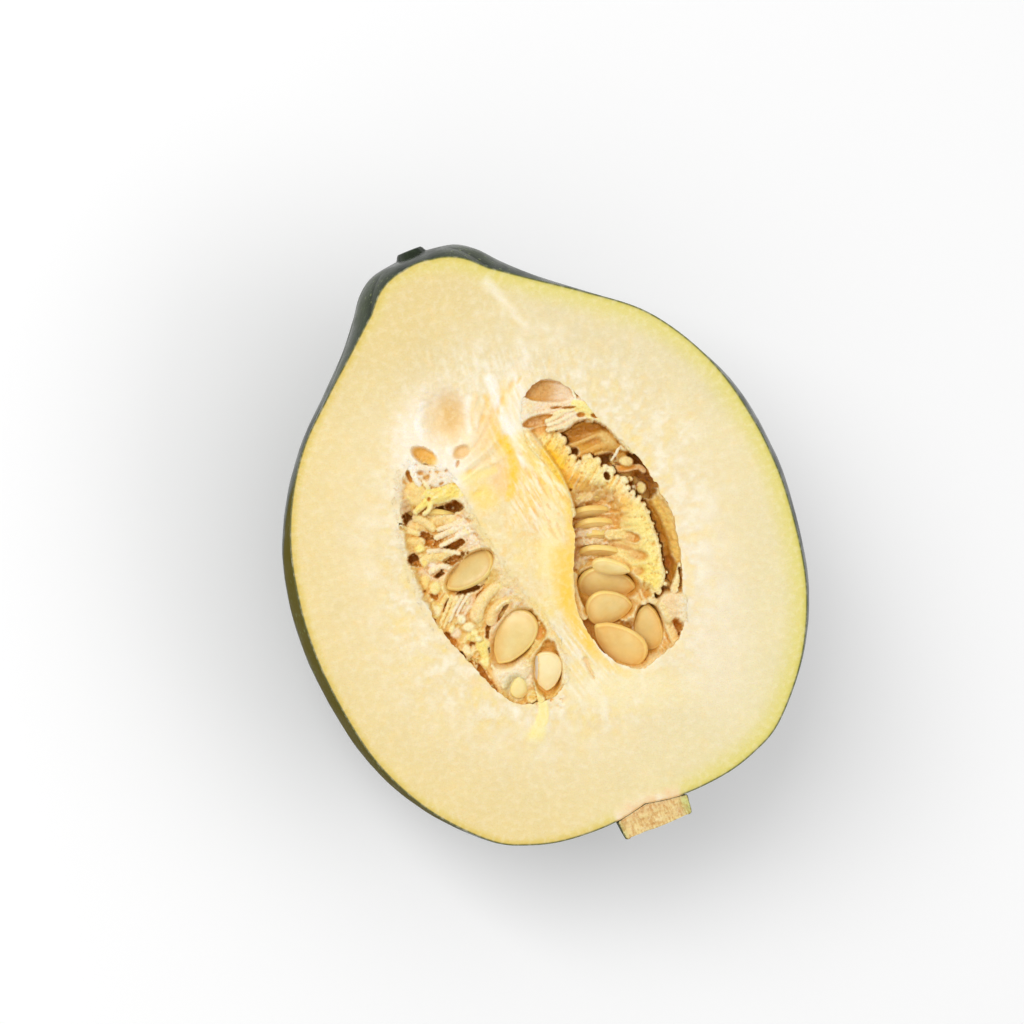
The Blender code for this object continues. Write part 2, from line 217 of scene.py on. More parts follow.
class Patch:
    """Points of a surface as the picture shows them, with their height and colour."""

    def __init__(self, px, py, height, colour):
        self.px, self.py = px, py
        self.z = np.full(len(px), float(height))
        self.colour = np.tile(tone(colour), (len(px), 1)).astype(float)

    def tint(self, weight, colour):
        """Moves the colour towards another."""
        self.colour += np.clip(weight, 0.0, 1.0)[:, None] * (tone(colour) - self.colour)

    def dab(self, weight, colour, *oval):
        """Tints an oval."""
        self.tint(self.oval(*oval) * weight, colour)

    def dust(self, where, size, seed, low, high, weight, colour):
        """Tints where noise is high, with features of a size in pixels."""
        self.tint(where * ramp(self.specks(size, seed), low, high) * weight, colour)

    def veins(self, where, grain, light, dark):
        """Tints a grain's crests and its hollows, each with its ramp's ends, weight and colour."""
        for sign, (low, high, weight, colour) in ((1, light), (-1, dark)):
            self.tint(where * ramp(sign * grain, low, high) * weight, colour)

    def shade(self, amount):
        """Makes the colour lighter or darker by a share."""
        self.colour *= (1.0 + amount)[:, None]

    def reach(self, weight, height):
        """Moves the surface towards a height."""
        self.z += np.clip(weight, 0.0, 1.0) * (height - self.z)

    def lay(self, weight, height, colour, cover=0.92):
        """Moves the surface to a height and its colour to another."""
        self.reach(weight, height)
        self.tint(weight * cover, colour)

    def take(self, weight, height, colours):
        """Moves the surface towards another one's heights and colours."""
        self.z += weight * (height - self.z)
        self.colour += weight[:, None] * (colours - self.colour)

    def ridge(self, points, wide, height, colour, end_wide):
        """A rounded ridge along a line, with its crest at a height."""
        near = self.line(points, wide, end_wide, 16)
        near = np.clip(near * (1.0 + 0.5 * self.specks(3.2, 88)), 0.0, 1.0)
        crest = height - wide * PIXEL * 0.8 * (1.0 - np.sqrt(near)) + 0.2 * self.specks(2.4, 89)
        self.z = np.where(near > 0.0, np.maximum(self.z, crest), self.z)
        self.tint(ramp(near, 0.0, 0.35) * 0.85, colour)

    def oval(self, x, y, rx, ry, turn, edge, ragged=0.0, seed=0):
        """1 inside an oval and 0 outside, soft over its edge."""
        c, s = math.cos(math.radians(turn)), math.sin(math.radians(turn))
        dx, dy = self.px - x, y - self.py
        r = np.hypot((dx * c + dy * s) / rx, (dy * c - dx * s) / ry)
        if ragged:
            r = r * (1.0 + ragged * layered(self.px / 4.0, self.py / 4.0, seed + 5))
        return 1.0 - ramp(r, 1.0 - edge, 1.0 + edge)

    def along(self, points, steps=24):
        """Distance from a smooth line, side of it, and the share of the way along it."""
        line = curve_points(points, steps)
        best = np.full(len(self.px), 1e9)
        side = np.zeros(len(self.px))
        share = np.zeros(len(self.px))
        for i, ((ax, ay), (bx, by)) in enumerate(zip(line, line[1:])):
            ex, ey = bx - ax, by - ay
            dx, dy = self.px - ax, self.py - ay
            t = np.clip((dx * ex + dy * ey) / (ex * ex + ey * ey), 0.0, 1.0)
            far = np.hypot(dx - t * ex, dy - t * ey)
            near = far < best
            best = np.where(near, far, best)
            side = np.where(near, np.sign(ex * dy - ey * dx), side)
            share = np.where(near, (i + t) / steps, share)
        return best, side, share

    def line(self, points, wide, end_wide, steps=24):
        """1 on a smooth line, falling to 0 at its half-width to either side."""
        far, _, share = self.along(points, steps)
        width = wide + (end_wide - wide) * share
        return np.clip(1.0 - (far / width) ** 2, 0.0, 1.0)

    def grain(self, turn, across, length, seed, layers=2):
        """Noise drawn out along a direction."""
        c, s = math.cos(math.radians(turn)), math.sin(math.radians(turn))
        u = self.px * c - self.py * s
        v = self.px * s + self.py * c
        return layered(u / length, v / across, seed, layers)

    def specks(self, size, seed):
        """Even noise with features of a size in pixels."""
        return layered(self.px / size, self.py / size, seed, 2)


def smooth_step(value, low, high):
    """The ramp for one number."""
    return float(ramp(np.float64(value), low, high))


def rind_point_rows():
    """Rings of points round the whole ribbed fruit, from the stem end to the blossom scar."""
    profile = np.vstack([curve_points(GROOVE_PROFILE, RIND_ROWS)[1:], SCAR_PROFILE])
    angle = np.linspace(0.0, 2 * math.pi, RIND_STEPS, endpoint=False)
    wave = np.abs(np.sin(RIBS / 2 * angle))
    rib = (wave * wave + 0.0012) ** (RIB_ROUNDNESS / 2)
    which = np.floor(angle / (2 * math.pi) * RIBS).astype(int)
    strength = 1.0 + 0.10 * hashed(which, which * 0, 3)
    rows, grooves = [], []
    for radius, y in profile:
        fade = 1.0 - (1.0 - RIB_AT_TIP) * smooth_step(y, *RIB_FADE)
        sink = -TIP_SINK * smooth_step(y, TIP_SINK_FROM, TIP_END)
        lean = -TIP_LEAN * smooth_step(y, TIP_LEAN_FROM, TIP_END)
        x0, z0 = radius * np.cos(angle), radius * np.sin(angle)
        uneven = 0.30 * layered(x0 / 19.0 + 3.0 * np.sin(angle), y / 23.0 + z0 / 19.0, 11, 2)
        uneven = uneven + 0.10 * layered(x0 / 4.0 + z0 / 7.0, y / 5.0 - z0 / 4.0, 12, 2)
        hidden = ramp(-np.sin(angle) * radius, 0.5, 6.0) * smooth_step(radius, 6.0, 20.0)
        reach = radius * (1.0 + RIB_HEIGHT * fade * rib * (1.0 + (strength - 1.0) * hidden))
        reach = reach + uneven * hidden
        rows.append(np.column_stack([lean + reach * np.cos(angle),
                                     np.full(RIND_STEPS, y), sink + reach * np.sin(angle)]))
        grooves.append(rib)
    return rows, grooves


def band(a, b, count, turned=False):
    """Faces between two rings of points that start at a and at b."""
    faces = []
    for i in range(count):
        j = (i + 1) % count
        faces.append((a + i, b + i, b + j, a + j) if turned else (a + i, a + j, b + j, b + i))
    return faces


def cut_rings(rows, ends, values):
    """A closed skin through rings, cut away above Z = 0: its points, faces, values and open rim."""
    count = len(rows[0])
    points = np.vstack(rows + [np.array(ends)])
    faces = []
    for r in range(len(rows) - 1):
        faces += band(r * count, (r + 1) * count, count)
    first, last = len(rows) * count, len(rows) * count + 1
    top = (len(rows) - 1) * count
    for i in range(count):
        j = (i + 1) % count
        faces.append((j, i, first))
        faces.append((top + i, top + j, last))
    mesh = bpy.data.meshes.new("rings")
    mesh.from_pydata(points.tolist(), [], faces)
    bm = bmesh.new()
    bm.from_mesh(mesh)
    bpy.data.meshes.remove(mesh)
    layer = bm.verts.layers.float.new("value")
    bm.verts.ensure_lookup_table()
    flat = np.concatenate(values + [np.zeros(2)])
    for v in bm.verts:
        v[layer] = flat[v.index]
    parts = bm.verts[:] + bm.edges[:] + bm.faces[:]
    bmesh.ops.bisect_plane(bm, geom=parts, dist=1e-6, plane_co=(0, 0, 0), plane_no=(0, 0, 1),
                           clear_outer=True)
    bmesh.ops.recalc_face_normals(bm, faces=bm.faces)
    bm.verts.index_update()
    after = {}
    for e in bm.edges:
        if e.is_boundary:
            for a, b in ((e.verts[0], e.verts[1]), (e.verts[1], e.verts[0])):
                after.setdefault(a.index, []).append(b.index)
    start = next(iter(after))
    rim, last_seen = [start], None
    while True:
        step = [k for k in after[rim[-1]] if k != last_seen]
        last_seen = rim[-1]
        if step[0] == start:
            break
        rim.append(step[0])
    points = np.array([v.co[:] for v in bm.verts])
    value = np.array([v[layer] for v in bm.verts])
    faces = [tuple(v.index for v in f.verts) for f in bm.faces]
    bm.free()
    return points, faces, value, rim


def inside(points, loop):
    """Which points lie inside a closed loop."""
    found = np.zeros(len(points), bool)
    x, y = points[:, 0], points[:, 1]
    ax, ay = loop[-1]
    for bx, by in loop:
        if ay != by:
            crosses = ((ay > y) != (by > y)) & (x < (bx - ax) * (y - ay) / (by - ay) + ax)
            found ^= crosses
        ax, ay = bx, by
    return found


def tree_of(loops):
    """A search tree of the loops' points."""
    points = np.vstack(loops)
    tree = KDTree(len(points))
    for i, (x, y) in enumerate(points):
        tree.insert((x, y, 0.0), i)
    tree.balance()
    return tree


def distances(points, tree):
    """Distance of each point from the nearest in the tree."""
    return np.array([tree.find((x, y, 0.0))[2] for x, y in points])


def sheet(outer, holes, extra):
    """Triangles of a flat face inside a loop and outside its holes, through extra points."""
    loops = [outer] + holes
    flat = np.vstack(loops + [extra])
    edges = []
    start = 0
    for loop in loops:
        n = len(loop)
        edges += [(start + i, start + (i + 1) % n) for i in range(n)]
        start += n
    made = delaunay_2d_cdt([Vector(p) for p in flat.tolist()], edges, [], 0, 1e-7, True)
    own = np.array([ids[0] for ids in made[3]])
    tris = own[np.array(made[2])]
    middle = flat[tris].mean(axis=1)
    keep = inside(middle, outer)
    for hole in holes:
        keep &= ~inside(middle, hole)
    tris = tris[keep]
    a, b, c = flat[tris[:, 0]], flat[tris[:, 1]], flat[tris[:, 2]]
    turned = (b[:, 0] - a[:, 0]) * (c[:, 1] - a[:, 1]) < (b[:, 1] - a[:, 1]) * (c[:, 0] - a[:, 0])
    tris[turned] = tris[turned][:, ::-1]
    return flat, tris


def grid(x0, x1, y0, y1, step, seed):
    """Evenly scattered points over a rectangle."""
    xs, ys = np.arange(x0, x1, step), np.arange(y0, y1, step * 0.87)
    gx, gy = np.meshgrid(xs, ys)
    gx = gx + (np.arange(len(ys)) % 2)[:, None] * step * 0.5
    i, j = np.meshgrid(np.arange(len(xs)), np.arange(len(ys)))
    gx = gx + hashed(i, j, seed) * step * 0.16
    gy = gy + hashed(i, j, seed + 1) * step * 0.16
    return np.column_stack([gx.ravel(), gy.ravel()])


def with_face(points, faces, rim, flat, tris):
    """The faces of an open skin and of the flat face that shares its rim's points."""
    number = np.concatenate([np.array(rim), len(points) + np.arange(len(flat) - len(rim))])
    return faces + [tuple(number[list(t)]) for t in tris]


def new_piece(name, points, faces, surfaces, stands_for=(), kinds=None, colour=None,
              values=None, sharp=None):
    """A shown piece that rides on the half, from points in millimetres in the fruit's frame."""
    mesh = bpy.data.meshes.new(name)
    mesh.from_pydata((np.asarray(points) * MM).tolist(), [], faces)
    for surface in surfaces:
        mesh.materials.append(surface)
    if kinds is not None:
        mesh.polygons.foreach_set("material_index", np.asarray(kinds, dtype=np.int32))
    if colour is not None:
        layer = mesh.attributes.new("tone", "FLOAT_COLOR", "POINT")
        full = np.column_stack([colour, np.ones(len(colour))])
        layer.data.foreach_set("color", full.astype(np.float32).ravel())
    for key, numbers in (values or {}).items():
        layer = mesh.attributes.new(key, "FLOAT", "POINT")
        layer.data.foreach_set("value", np.asarray(numbers, dtype=np.float32))
    mesh.shade_smooth()
    if sharp:
        mesh.set_sharp_from_angle(angle=math.radians(sharp))
    mesh.validate()
    made = bpy.data.objects.new(name, mesh)
    bpy.context.collection.objects.link(made)
    made.data.transform(PLACE)
    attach(made, "root")
    if stands_for:
        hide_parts(*stands_for)


def outward(loop):
    """A loop's middle, and the directions from it to the loop's points."""
    middle = loop.mean(axis=0)
    out = loop - middle
    return middle, out / np.linalg.norm(out, axis=1)[:, None]


def chamber_outline(corners, seed):
    """A chamber's edge in the cut face, a little uneven."""
    loop = curve_points(corners, CHAMBER_STEPS, closed=True)
    _, out = outward(loop)
    wobble = 0.55 * layered(loop[:, 0] / 2.3, loop[:, 1] / 2.3, seed, 3)
    wobble = wobble + 0.32 * layered(loop[:, 0] / 0.8, loop[:, 1] / 0.8, seed + 4, 2)
    return loop + out * wobble[:, None]


def wall_rings(loop, gap=0.0):
    """Rings down a chamber's wall, or a gap outside it."""
    middle, out = outward(loop)
    rings = []
    for z, scale in CHAMBER_LEVELS:
        ring = middle + (loop - middle) * scale + out * gap
        rough = 0.25 * layered(loop[:, 0] / 1.6 + z, loop[:, 1] / 1.6 - z, 31, 2)
        ring = ring + out * (rough * smooth_step(-z, 0.0, 1.5))[:, None]
        rings.append(np.column_stack([ring, np.full(len(ring), z)]))
    return rings, middle


# Colours of the flesh, and the painted shade of the holes in the pulp from the deepest up
CREAM = 0xEAD494
NEAR_CAVITY = 0xEEDCB2
LEMON = 0xE9DDAE
EDGE_YELLOW = 0xE0D468
WHITE = 0xFAF3E0
BLACK = 0x6C1A02
DARK = 0x8E2E04
BROWN = 0xC86E16
AMBER = 0xE29224


def paint_face(patch, from_rind):
    """The flesh's colours on the points of the cut face."""
    x, y = on_cut(patch.px, patch.py)
    patch.tint(ramp(x, -44.0, 36.0) * 0.85 + 0.1 * patch.specks(60, 3), LEMON)
    for row in ((0.8, NEAR_CAVITY, 545, 545, 200, 230, 0, 0.42),
                (0.5, 0xECD28A, 410, 290, 120, 70, 30, 0.6),
                (0.5, 0xF2E6D0, 705, 600, 40, 110, 12, 0.6)):
        patch.dab(*row)
    patch.shade(-0.06 * ramp(patch.py, 440.0, 360.0))
    patch.shade(0.02 * patch.specks(26, 7) + 0.016 * patch.specks(9, 8) + 0.014 * patch.specks(3.2, 9))
    patch.tint(ramp(patch.specks(6.0, 12), 0.35, 0.8) * 0.25, 0xF7D78C)
    right = ramp(x, -30.0, 30.0)
    wide = 2.4 + 5.0 * right + 0.9 * patch.specks(40, 15)
    patch.tint((1.0 - ramp(from_rind, 0.8, wide)) * (0.5 + 0.25 * right), EDGE_YELLOW)
    patch.tint((1.0 - ramp(from_rind, 0.4, 2.2)) * (1.0 - right) * 0.6, 0xDEB854)
    patch.tint((1.0 - ramp(from_rind, 0.25, 1.5)) * (0.15 + 0.5 * right), 0xC8BC48)
    at_stem = ramp(STEM_STAIN - np.abs(x - STEM_MIDDLE), 0.0, 1.2) * ramp(-y, 60.0, 64.0)
    rays = layered(x / 0.8 + 0.12 * y, y / 4.0, 120, 3)
    root = at_stem * ramp(from_rind + 0.8 * rays, 4.4, 0.8)
    patch.tint(root * 0.7, 0xF9DEBC)
    patch.veins(root, rays, (0.0, 0.5, 0.6, 0xFCF2DE), (0.05, 0.6, 0.6, 0xF0C690))
    patch.tint((1.0 - ramp(from_rind, 0.12, 0.55)) * (1.0 - at_stem), 0x3C4A24)
    patch.tint((1.0 - ramp(from_rind, 0.12, 0.6)) * at_stem * 0.8, 0xD8A460)
    patch.tint(patch.line([(486, 282), (507, 305), (529, 333)], 7, 3) * 0.6, WHITE)
    paint_core(patch)


def paint_core(patch):
    """What the cut face and the pulp share round the seed chambers."""
    away = np.hypot((patch.px - 540) * 0.95, patch.py - 545)
    angle = np.arctan2(patch.py - 545, patch.px - 540)
    bend = 0.03 * patch.specks(26, 18)
    radial = layered((angle + bend) * 34.0, away / 19.0, 19, 3)
    belt = patch.oval(540, 545, 205, 232, 0, 0.28)
    patch.veins(belt, radial, (0.0, 0.6, 0.18, WHITE), (0.08, 0.7, 0.2, 0xF2D28C))
    close = patch.oval(540, 545, 172, 205, 0, 0.25)
    fleck = patch.specks(4.4, 31) + 0.5 * radial
    patch.veins(close, fleck, (0.1, 0.8, 0.45, WHITE), (0.1, 0.8, 0.32, 0xF8D67C))
    marble = patch.specks(11, 36) + 0.4 * patch.specks(5, 37)
    soft = patch.oval(545, 555, 168, 190, 0, 0.3)
    patch.veins(soft, marble, (0.0, 0.6, 0.5, 0xFEF9E6), (0.0, 0.6, 0.44, 0xF8DE80))
    patch.dust(belt, 2.4, 32, 0.2, 0.8, 0.16, 0xF2D08C)
    patch.dust(belt, 2.2, 35, 0.2, 0.8, 0.25, WHITE)
    patch.z += close * (0.05 * fleck + 0.035 * patch.specks(2.3, 42)) + belt * 0.03 * radial

    # Streaks that run down to the column from the blossom end
    above = patch.oval(505, 360, 72, 62, 0, 0.5)
    down = patch.grain(-74, 2.4, 24, 22, 3)
    patch.tint(above * ramp(down + 0.5 * patch.specks(7, 23), 0.0, 0.8) * 0.4, WHITE)
    patch.tint(above * ramp(-down, 0.1, 0.8) * 0.3, 0xF6D08A)

    # The whitish web at the left with its dimple and pockets
    web = patch.oval(434, 444, 40, 56, -8, 0.45, 0.12, 3)
    patch.tint(web * 0.8, 0xFBEED8)
    patch.dust(web, 5, 33, 0.0, 0.6, 0.5, 0xFDF9F0)
    for points in ([(468, 398), (466, 412), (468, 430)], [(424, 404), (418, 420), (421, 436)],
                   [(438, 434), (446, 442), (450, 452)]):
        patch.tint(patch.line(points, 5, 4, 10) * 0.6, 0xFDFAF2)
    dimple = patch.oval(446, 418, 19, 23, 8, 0.7, 0.12, 7)
    patch.reach(dimple, -2.6)
    patch.tint(dimple * 0.75, 0xF0CE8C)
    # A darker strip of painted shade in the dimple
    patch.dab(0.7, 0xE2B462, 451, 414, 10, 19, 4, 0.8, 0.12, 8)
    patch.dust(dimple, 3.4, 34, 0.0, 0.5, 0.45, 0xF6DCA8)
    pocket = patch.oval(460.5, 451.5, 8.5, 5.4, 34, 0.3, 0.08, 2)
    patch.reach(pocket * (1.0 - 0.7 * ramp(452.0 - patch.px + 0.6 * (patch.py - 451), -8.0, 4.0)), -2.0)
    patch.tint(pocket * 0.85, 0xECC27A)
    gold = patch.oval(424.5, 455.5, 13.5, 7.0, -30, 0.22, 0.06, 4)
    patch.reach(gold * (1.0 - 0.75 * ramp(patch.px + patch.py, 882.0, 896.0)), -2.8)
    patch.tint(gold, 0xF2C664)
    # The deeper upper left of the gold hollow is darker: painted shade
    patch.tint(patch.oval(420, 453, 9, 4.0, -30, 0.7) * gold * 0.6, 0xE4AA42)
    # Small pits, darker with painted shade
    for at in ((420, 472, 3, 2.2, 0, 0.7), (426, 476.5, 3.2, 1.8, 30, 0.7),
               (446, 470, 1.5, 1.2, 0, 0.8), (457.5, 463, 1.5, 3.4, -14, 0.7),
               (441, 483, 2.4, 1.3, 30, 0.7)):
        hole = patch.oval(*at)
        patch.reach(hole, -1.1)
        patch.tint(hole * 0.75, 0xDCA660)

    # Folds that sweep from the column to the left
    for k, (points, colour) in enumerate((
            ([(497, 398), (489, 424), (476, 444), (462, 458)], 0xF6D29E),
            ([(503, 420), (496, 440), (481, 455), (465, 467)], 0xFCF0D6),
            ([(506, 436), (498, 450), (482, 462), (468, 473)], 0xF2C48C),
            ([(510, 450), (498, 460), (480, 468), (464, 480)], 0xFCECC4),
            ([(488, 400), (482, 418), (478, 432)], 0xF6D096),
            ([(476, 396), (472, 412), (474, 428)], 0xF7D6A0))):
        fold = patch.line(points, 3.4, 2.0, 12)
        patch.tint(fold * 0.75, colour)
        patch.z += fold * (0.22 if k % 2 else -0.2)
    patch.dab(0.6, 0xF6CC92, 506, 478, 17, 22, -70, 0.6, 0.2, 4)

    # The column between the chambers: fibres that bend and fan out
    column = patch.oval(527, 540, 46, 128, 12, 0.4)
    upper, lower = ramp(patch.py, 500.0, 450.0), ramp(patch.py, 590.0, 640.0)
    middle = 1.0 - upper - lower
    warp = 5.0 * patch.specks(22, 61)
    held = patch.px.copy()
    patch.px = held + warp
    fibre = (upper * patch.grain(-66, 2.2, 24, 62, 4) + middle * patch.grain(-82, 2.4, 26, 63, 4)
             + lower * patch.grain(-48, 2.2, 24, 64, 4))
    broad = (upper * patch.grain(-66, 5.0, 30, 65, 2) + middle * patch.grain(-84, 6.0, 34, 66, 2)
             + lower * patch.grain(-50, 5.0, 30, 67, 2))
    patch.px = held
    strong = 0.35 + 0.65 * upper + 0.3 * lower
    patch.tint(column * 0.8, 0xEED89E)
    patch.veins(column * strong, broad, (0.0, 0.6, 0.5, 0xF8E8BE), (0.0, 0.6, 0.5, 0xF4D086))
    patch.veins(column * strong, fibre, (0.05, 0.55, 0.5, 0xFAF0D6), (0.05, 0.6, 0.5, 0xF0C27A))
    for row in ((column, 14, 163, -0.1, 0.6, 0.5, 0xFADE80),
                (column, 5, 164, 0.1, 0.7, 0.45, 0xF6CC70),
                (column, 3, 168, 0.1, 0.7, 0.45, 0xFBF0CE)):
        patch.dust(*row)
    patch.z += column * strong * 0.2 * fibre
    peach = patch.oval(497, 590, 20, 46, 26, 0.5, 0.15, 9)
    patch.dust(peach, 6, 68, -0.3, 0.5, 0.6, 0xF6D09C)
    gold = patch.line([(487, 398), (494, 428), (506, 458), (512, 490)], 6.5, 10)
    patch.tint(gold * ramp(fibre, 0.8, -0.6) * 1.2, 0xFBCE56)
    rosy = patch.oval(503, 478, 13, 16, 0, 0.6, 0.2, 14)
    patch.tint(rosy * 0.5, 0xF8C88E)
    for row in ((0.45, 0xFACE8C, 490, 425, 10, 28, -14, 0.6, 0.2, 15),
                (0.75, 0xFBCE5C, 515, 463, 9, 16, -10, 0.6, 0.2, 3),
                (0.5, 0xFBD878, 508, 398, 10, 15, 10, 0.6, 0.2, 5)):
        patch.dab(*row)
    ridge = patch.line([(490, 380), (495, 396), (504, 420), (515, 446), (525, 466)], 8.0, 3.6)
    ragged = 1.0 + 0.5 * patch.specks(6, 69)
    streak = patch.grain(-68, 2.2, 20, 167, 3)
    patch.reach(ridge * 0.9, 0.22)
    patch.tint(ridge * (ragged + 0.5 * streak) * 0.85, 0xFBF6EA)
    white = patch.oval(516, 410, 11, 50, -4, 0.6, 0.2, 12)
    patch.tint(white * (0.7 + 0.6 * streak) * 0.85, 0xFBF5E8)
    patch.tint(patch.line([(520, 452), (526, 474), (530, 500)], 4.5, 2) * ragged * 0.5, WHITE)
    bright = patch.line([(505, 440), (511, 454), (514, 468), (513, 484), (508, 498)], 7.5, 4.5)
    patch.tint(bright * (0.95 + 0.4 * patch.specks(4, 170)), 0xFDCC24)
    fine = patch.oval(536, 484, 17, 40, -30, 0.5, 0.2, 21)
    thread = patch.grain(-58, 1.7, 15, 171, 3)
    patch.tint(fine * 0.4, 0xFADA8C)
    patch.veins(fine, thread, (0.0, 0.45, 0.75, 0xFDF6DE), (0.0, 0.45, 0.7, 0xF8C45C))
    patch.z += fine * 0.16 * thread
    for at in ((511, 386, 2.6, 6.5, -24), (502, 400, 2.2, 5, -8), (498, 412, 1.8, 5, 10),
               (482, 419, 2, 3.6, -10), (469, 471, 4.4, 1.8, 20), (478, 492, 5, 2, 24),
               (519, 380, 1.5, 4, -30)):
        slit = patch.oval(*at, 0.8, 0.3, int(at[0]))
        patch.reach(slit * 0.6, -0.5)
        patch.tint(slit * 0.7, 0xF8CA68)
    patch.tint(patch.line([(547, 486), (555, 499), (562, 514)], 1.8, 1.0, 8) * 0.9, WHITE)
    patch.tint(patch.line([(541, 481), (552, 497), (564, 514)], 3.4, 2.4, 8) * 0.7, 0xFACE58)
    patch.tint(patch.oval(534, 486, 18, 26, 30, 0.6, 0.2, 6) * ramp(fibre, 0.4, -0.4) * 0.6,
               0xFBDC78)
    join = patch.line([(524, 442), (538, 461), (552, 480), (564, 497), (572, 516)], 15, 5)
    knotty = patch.grain(-50, 2.6, 11, 53, 3)
    patch.z += join * 0.3 * knotty
    patch.tint(join * (0.6 + 0.35 * knotty), 0xFDDC6E)
    patch.veins(join, knotty, (0.1, 0.6, 0.75, 0xFEF8DC), (0.1, 0.6, 0.75, 0xF9B83C))
    deepest = patch.line([(549, 452), (555, 464), (561, 477), (570, 488)], 9.5, 5.0)
    deepest = deepest * (0.85 + 0.5 * knotty)
    patch.tint(deepest, 0xFFCE10)
    patch.tint(deepest * ramp(patch.grain(-60, 1.8, 10, 172, 3), 0.1, 0.5) * 0.6, 0xFFF096)
    pale = patch.oval(551, 545, 11, 50, 2, 0.6)
    patch.tint(pale * 0.55, 0xFAEEB4)
    band = patch.line([(573, 500), (575, 530), (572, 556), (568, 582), (571, 610), (584, 638),
                       (606, 666), (630, 678)], 12, 5)
    patch.tint(band * (0.8 + 0.35 * patch.specks(8, 70)), 0xFAD054)
    patch.tint(patch.line([(562, 556), (563, 592), (575, 622), (590, 645)], 15, 9) * 0.7, 0xFACE48)
    flecks = patch.oval(548, 500, 30, 40, 20, 0.5)
    patch.tint(flecks * ramp(patch.grain(-58, 2.4, 12, 165, 2), 0.2, 0.6) * 0.6, 0xF0B460)
    patch.tint(flecks * ramp(patch.grain(-58, 2.0, 14, 166, 2), 0.2, 0.6) * 0.6, 0xFCF4DE)

    # Fibres that fan out below the column
    fan = patch.oval(580, 660, 44, 34, -40, 0.45)
    rays = patch.grain(-52, 2.2, 26, 71, 4)
    patch.veins(fan, rays, (0.0, 0.5, 0.65, WHITE), (0.05, 0.55, 0.6, 0xF9D67C))
    patch.z += fan * 0.2 * rays
    notch = patch.line([(586, 662), (590, 671), (595, 681)], 3.2, 1.4, 8)
    patch.reach(notch, -0.9)
    patch.tint(notch * 0.7, 0xF2CA8C)
    patch.dab(0.5, 0xF8EAB8, 626, 690, 60, 20, 0, 0.7)
    crumbs = patch.oval(543, 700, 20, 9, -12, 0.6)
    patch.dust(crumbs, 3.0, 33, -0.1, 0.4, 0.8, 0xF3BA58)
    patch.reach(crumbs * ramp(patch.specks(3.0, 33), 0.0, 0.5), -0.8)
    loose = patch.line([(537, 689), (539, 697), (543, 706), (544, 716), (541, 728), (534, 743)],
                       3.4, 9.5)
    loose = ramp(loose, 0.0, 0.55) * ramp(748.0 - patch.py - 2.0 * patch.specks(5, 95), 0.0, 9.0)
    patch.reach(loose, 0.32)
    patch.tint(loose * 0.85, 0xFAE896)
    patch.tint(loose * ramp(patch.grain(-80, 2.0, 14, 96), 0.0, 0.5) * 0.5, 0xFCF2C0)
    golden = patch.oval(484, 497, 13, 14, 50, 0.6, 0.2, 7)
    patch.tint(golden * 0.7, 0xFCDA70)
    patch.tint(patch.line([(466, 478), (480, 474), (494, 470)], 9, 5) * 0.6, 0xFBE68C)
    edge_left = patch.line([(402, 470), (396, 510), (404, 560), (432, 620), (470, 676), (500, 706)],
                           7, 7)
    patch.dust(edge_left, 5, 72, -0.2, 0.5, 0.5, 0xF7DEB0)


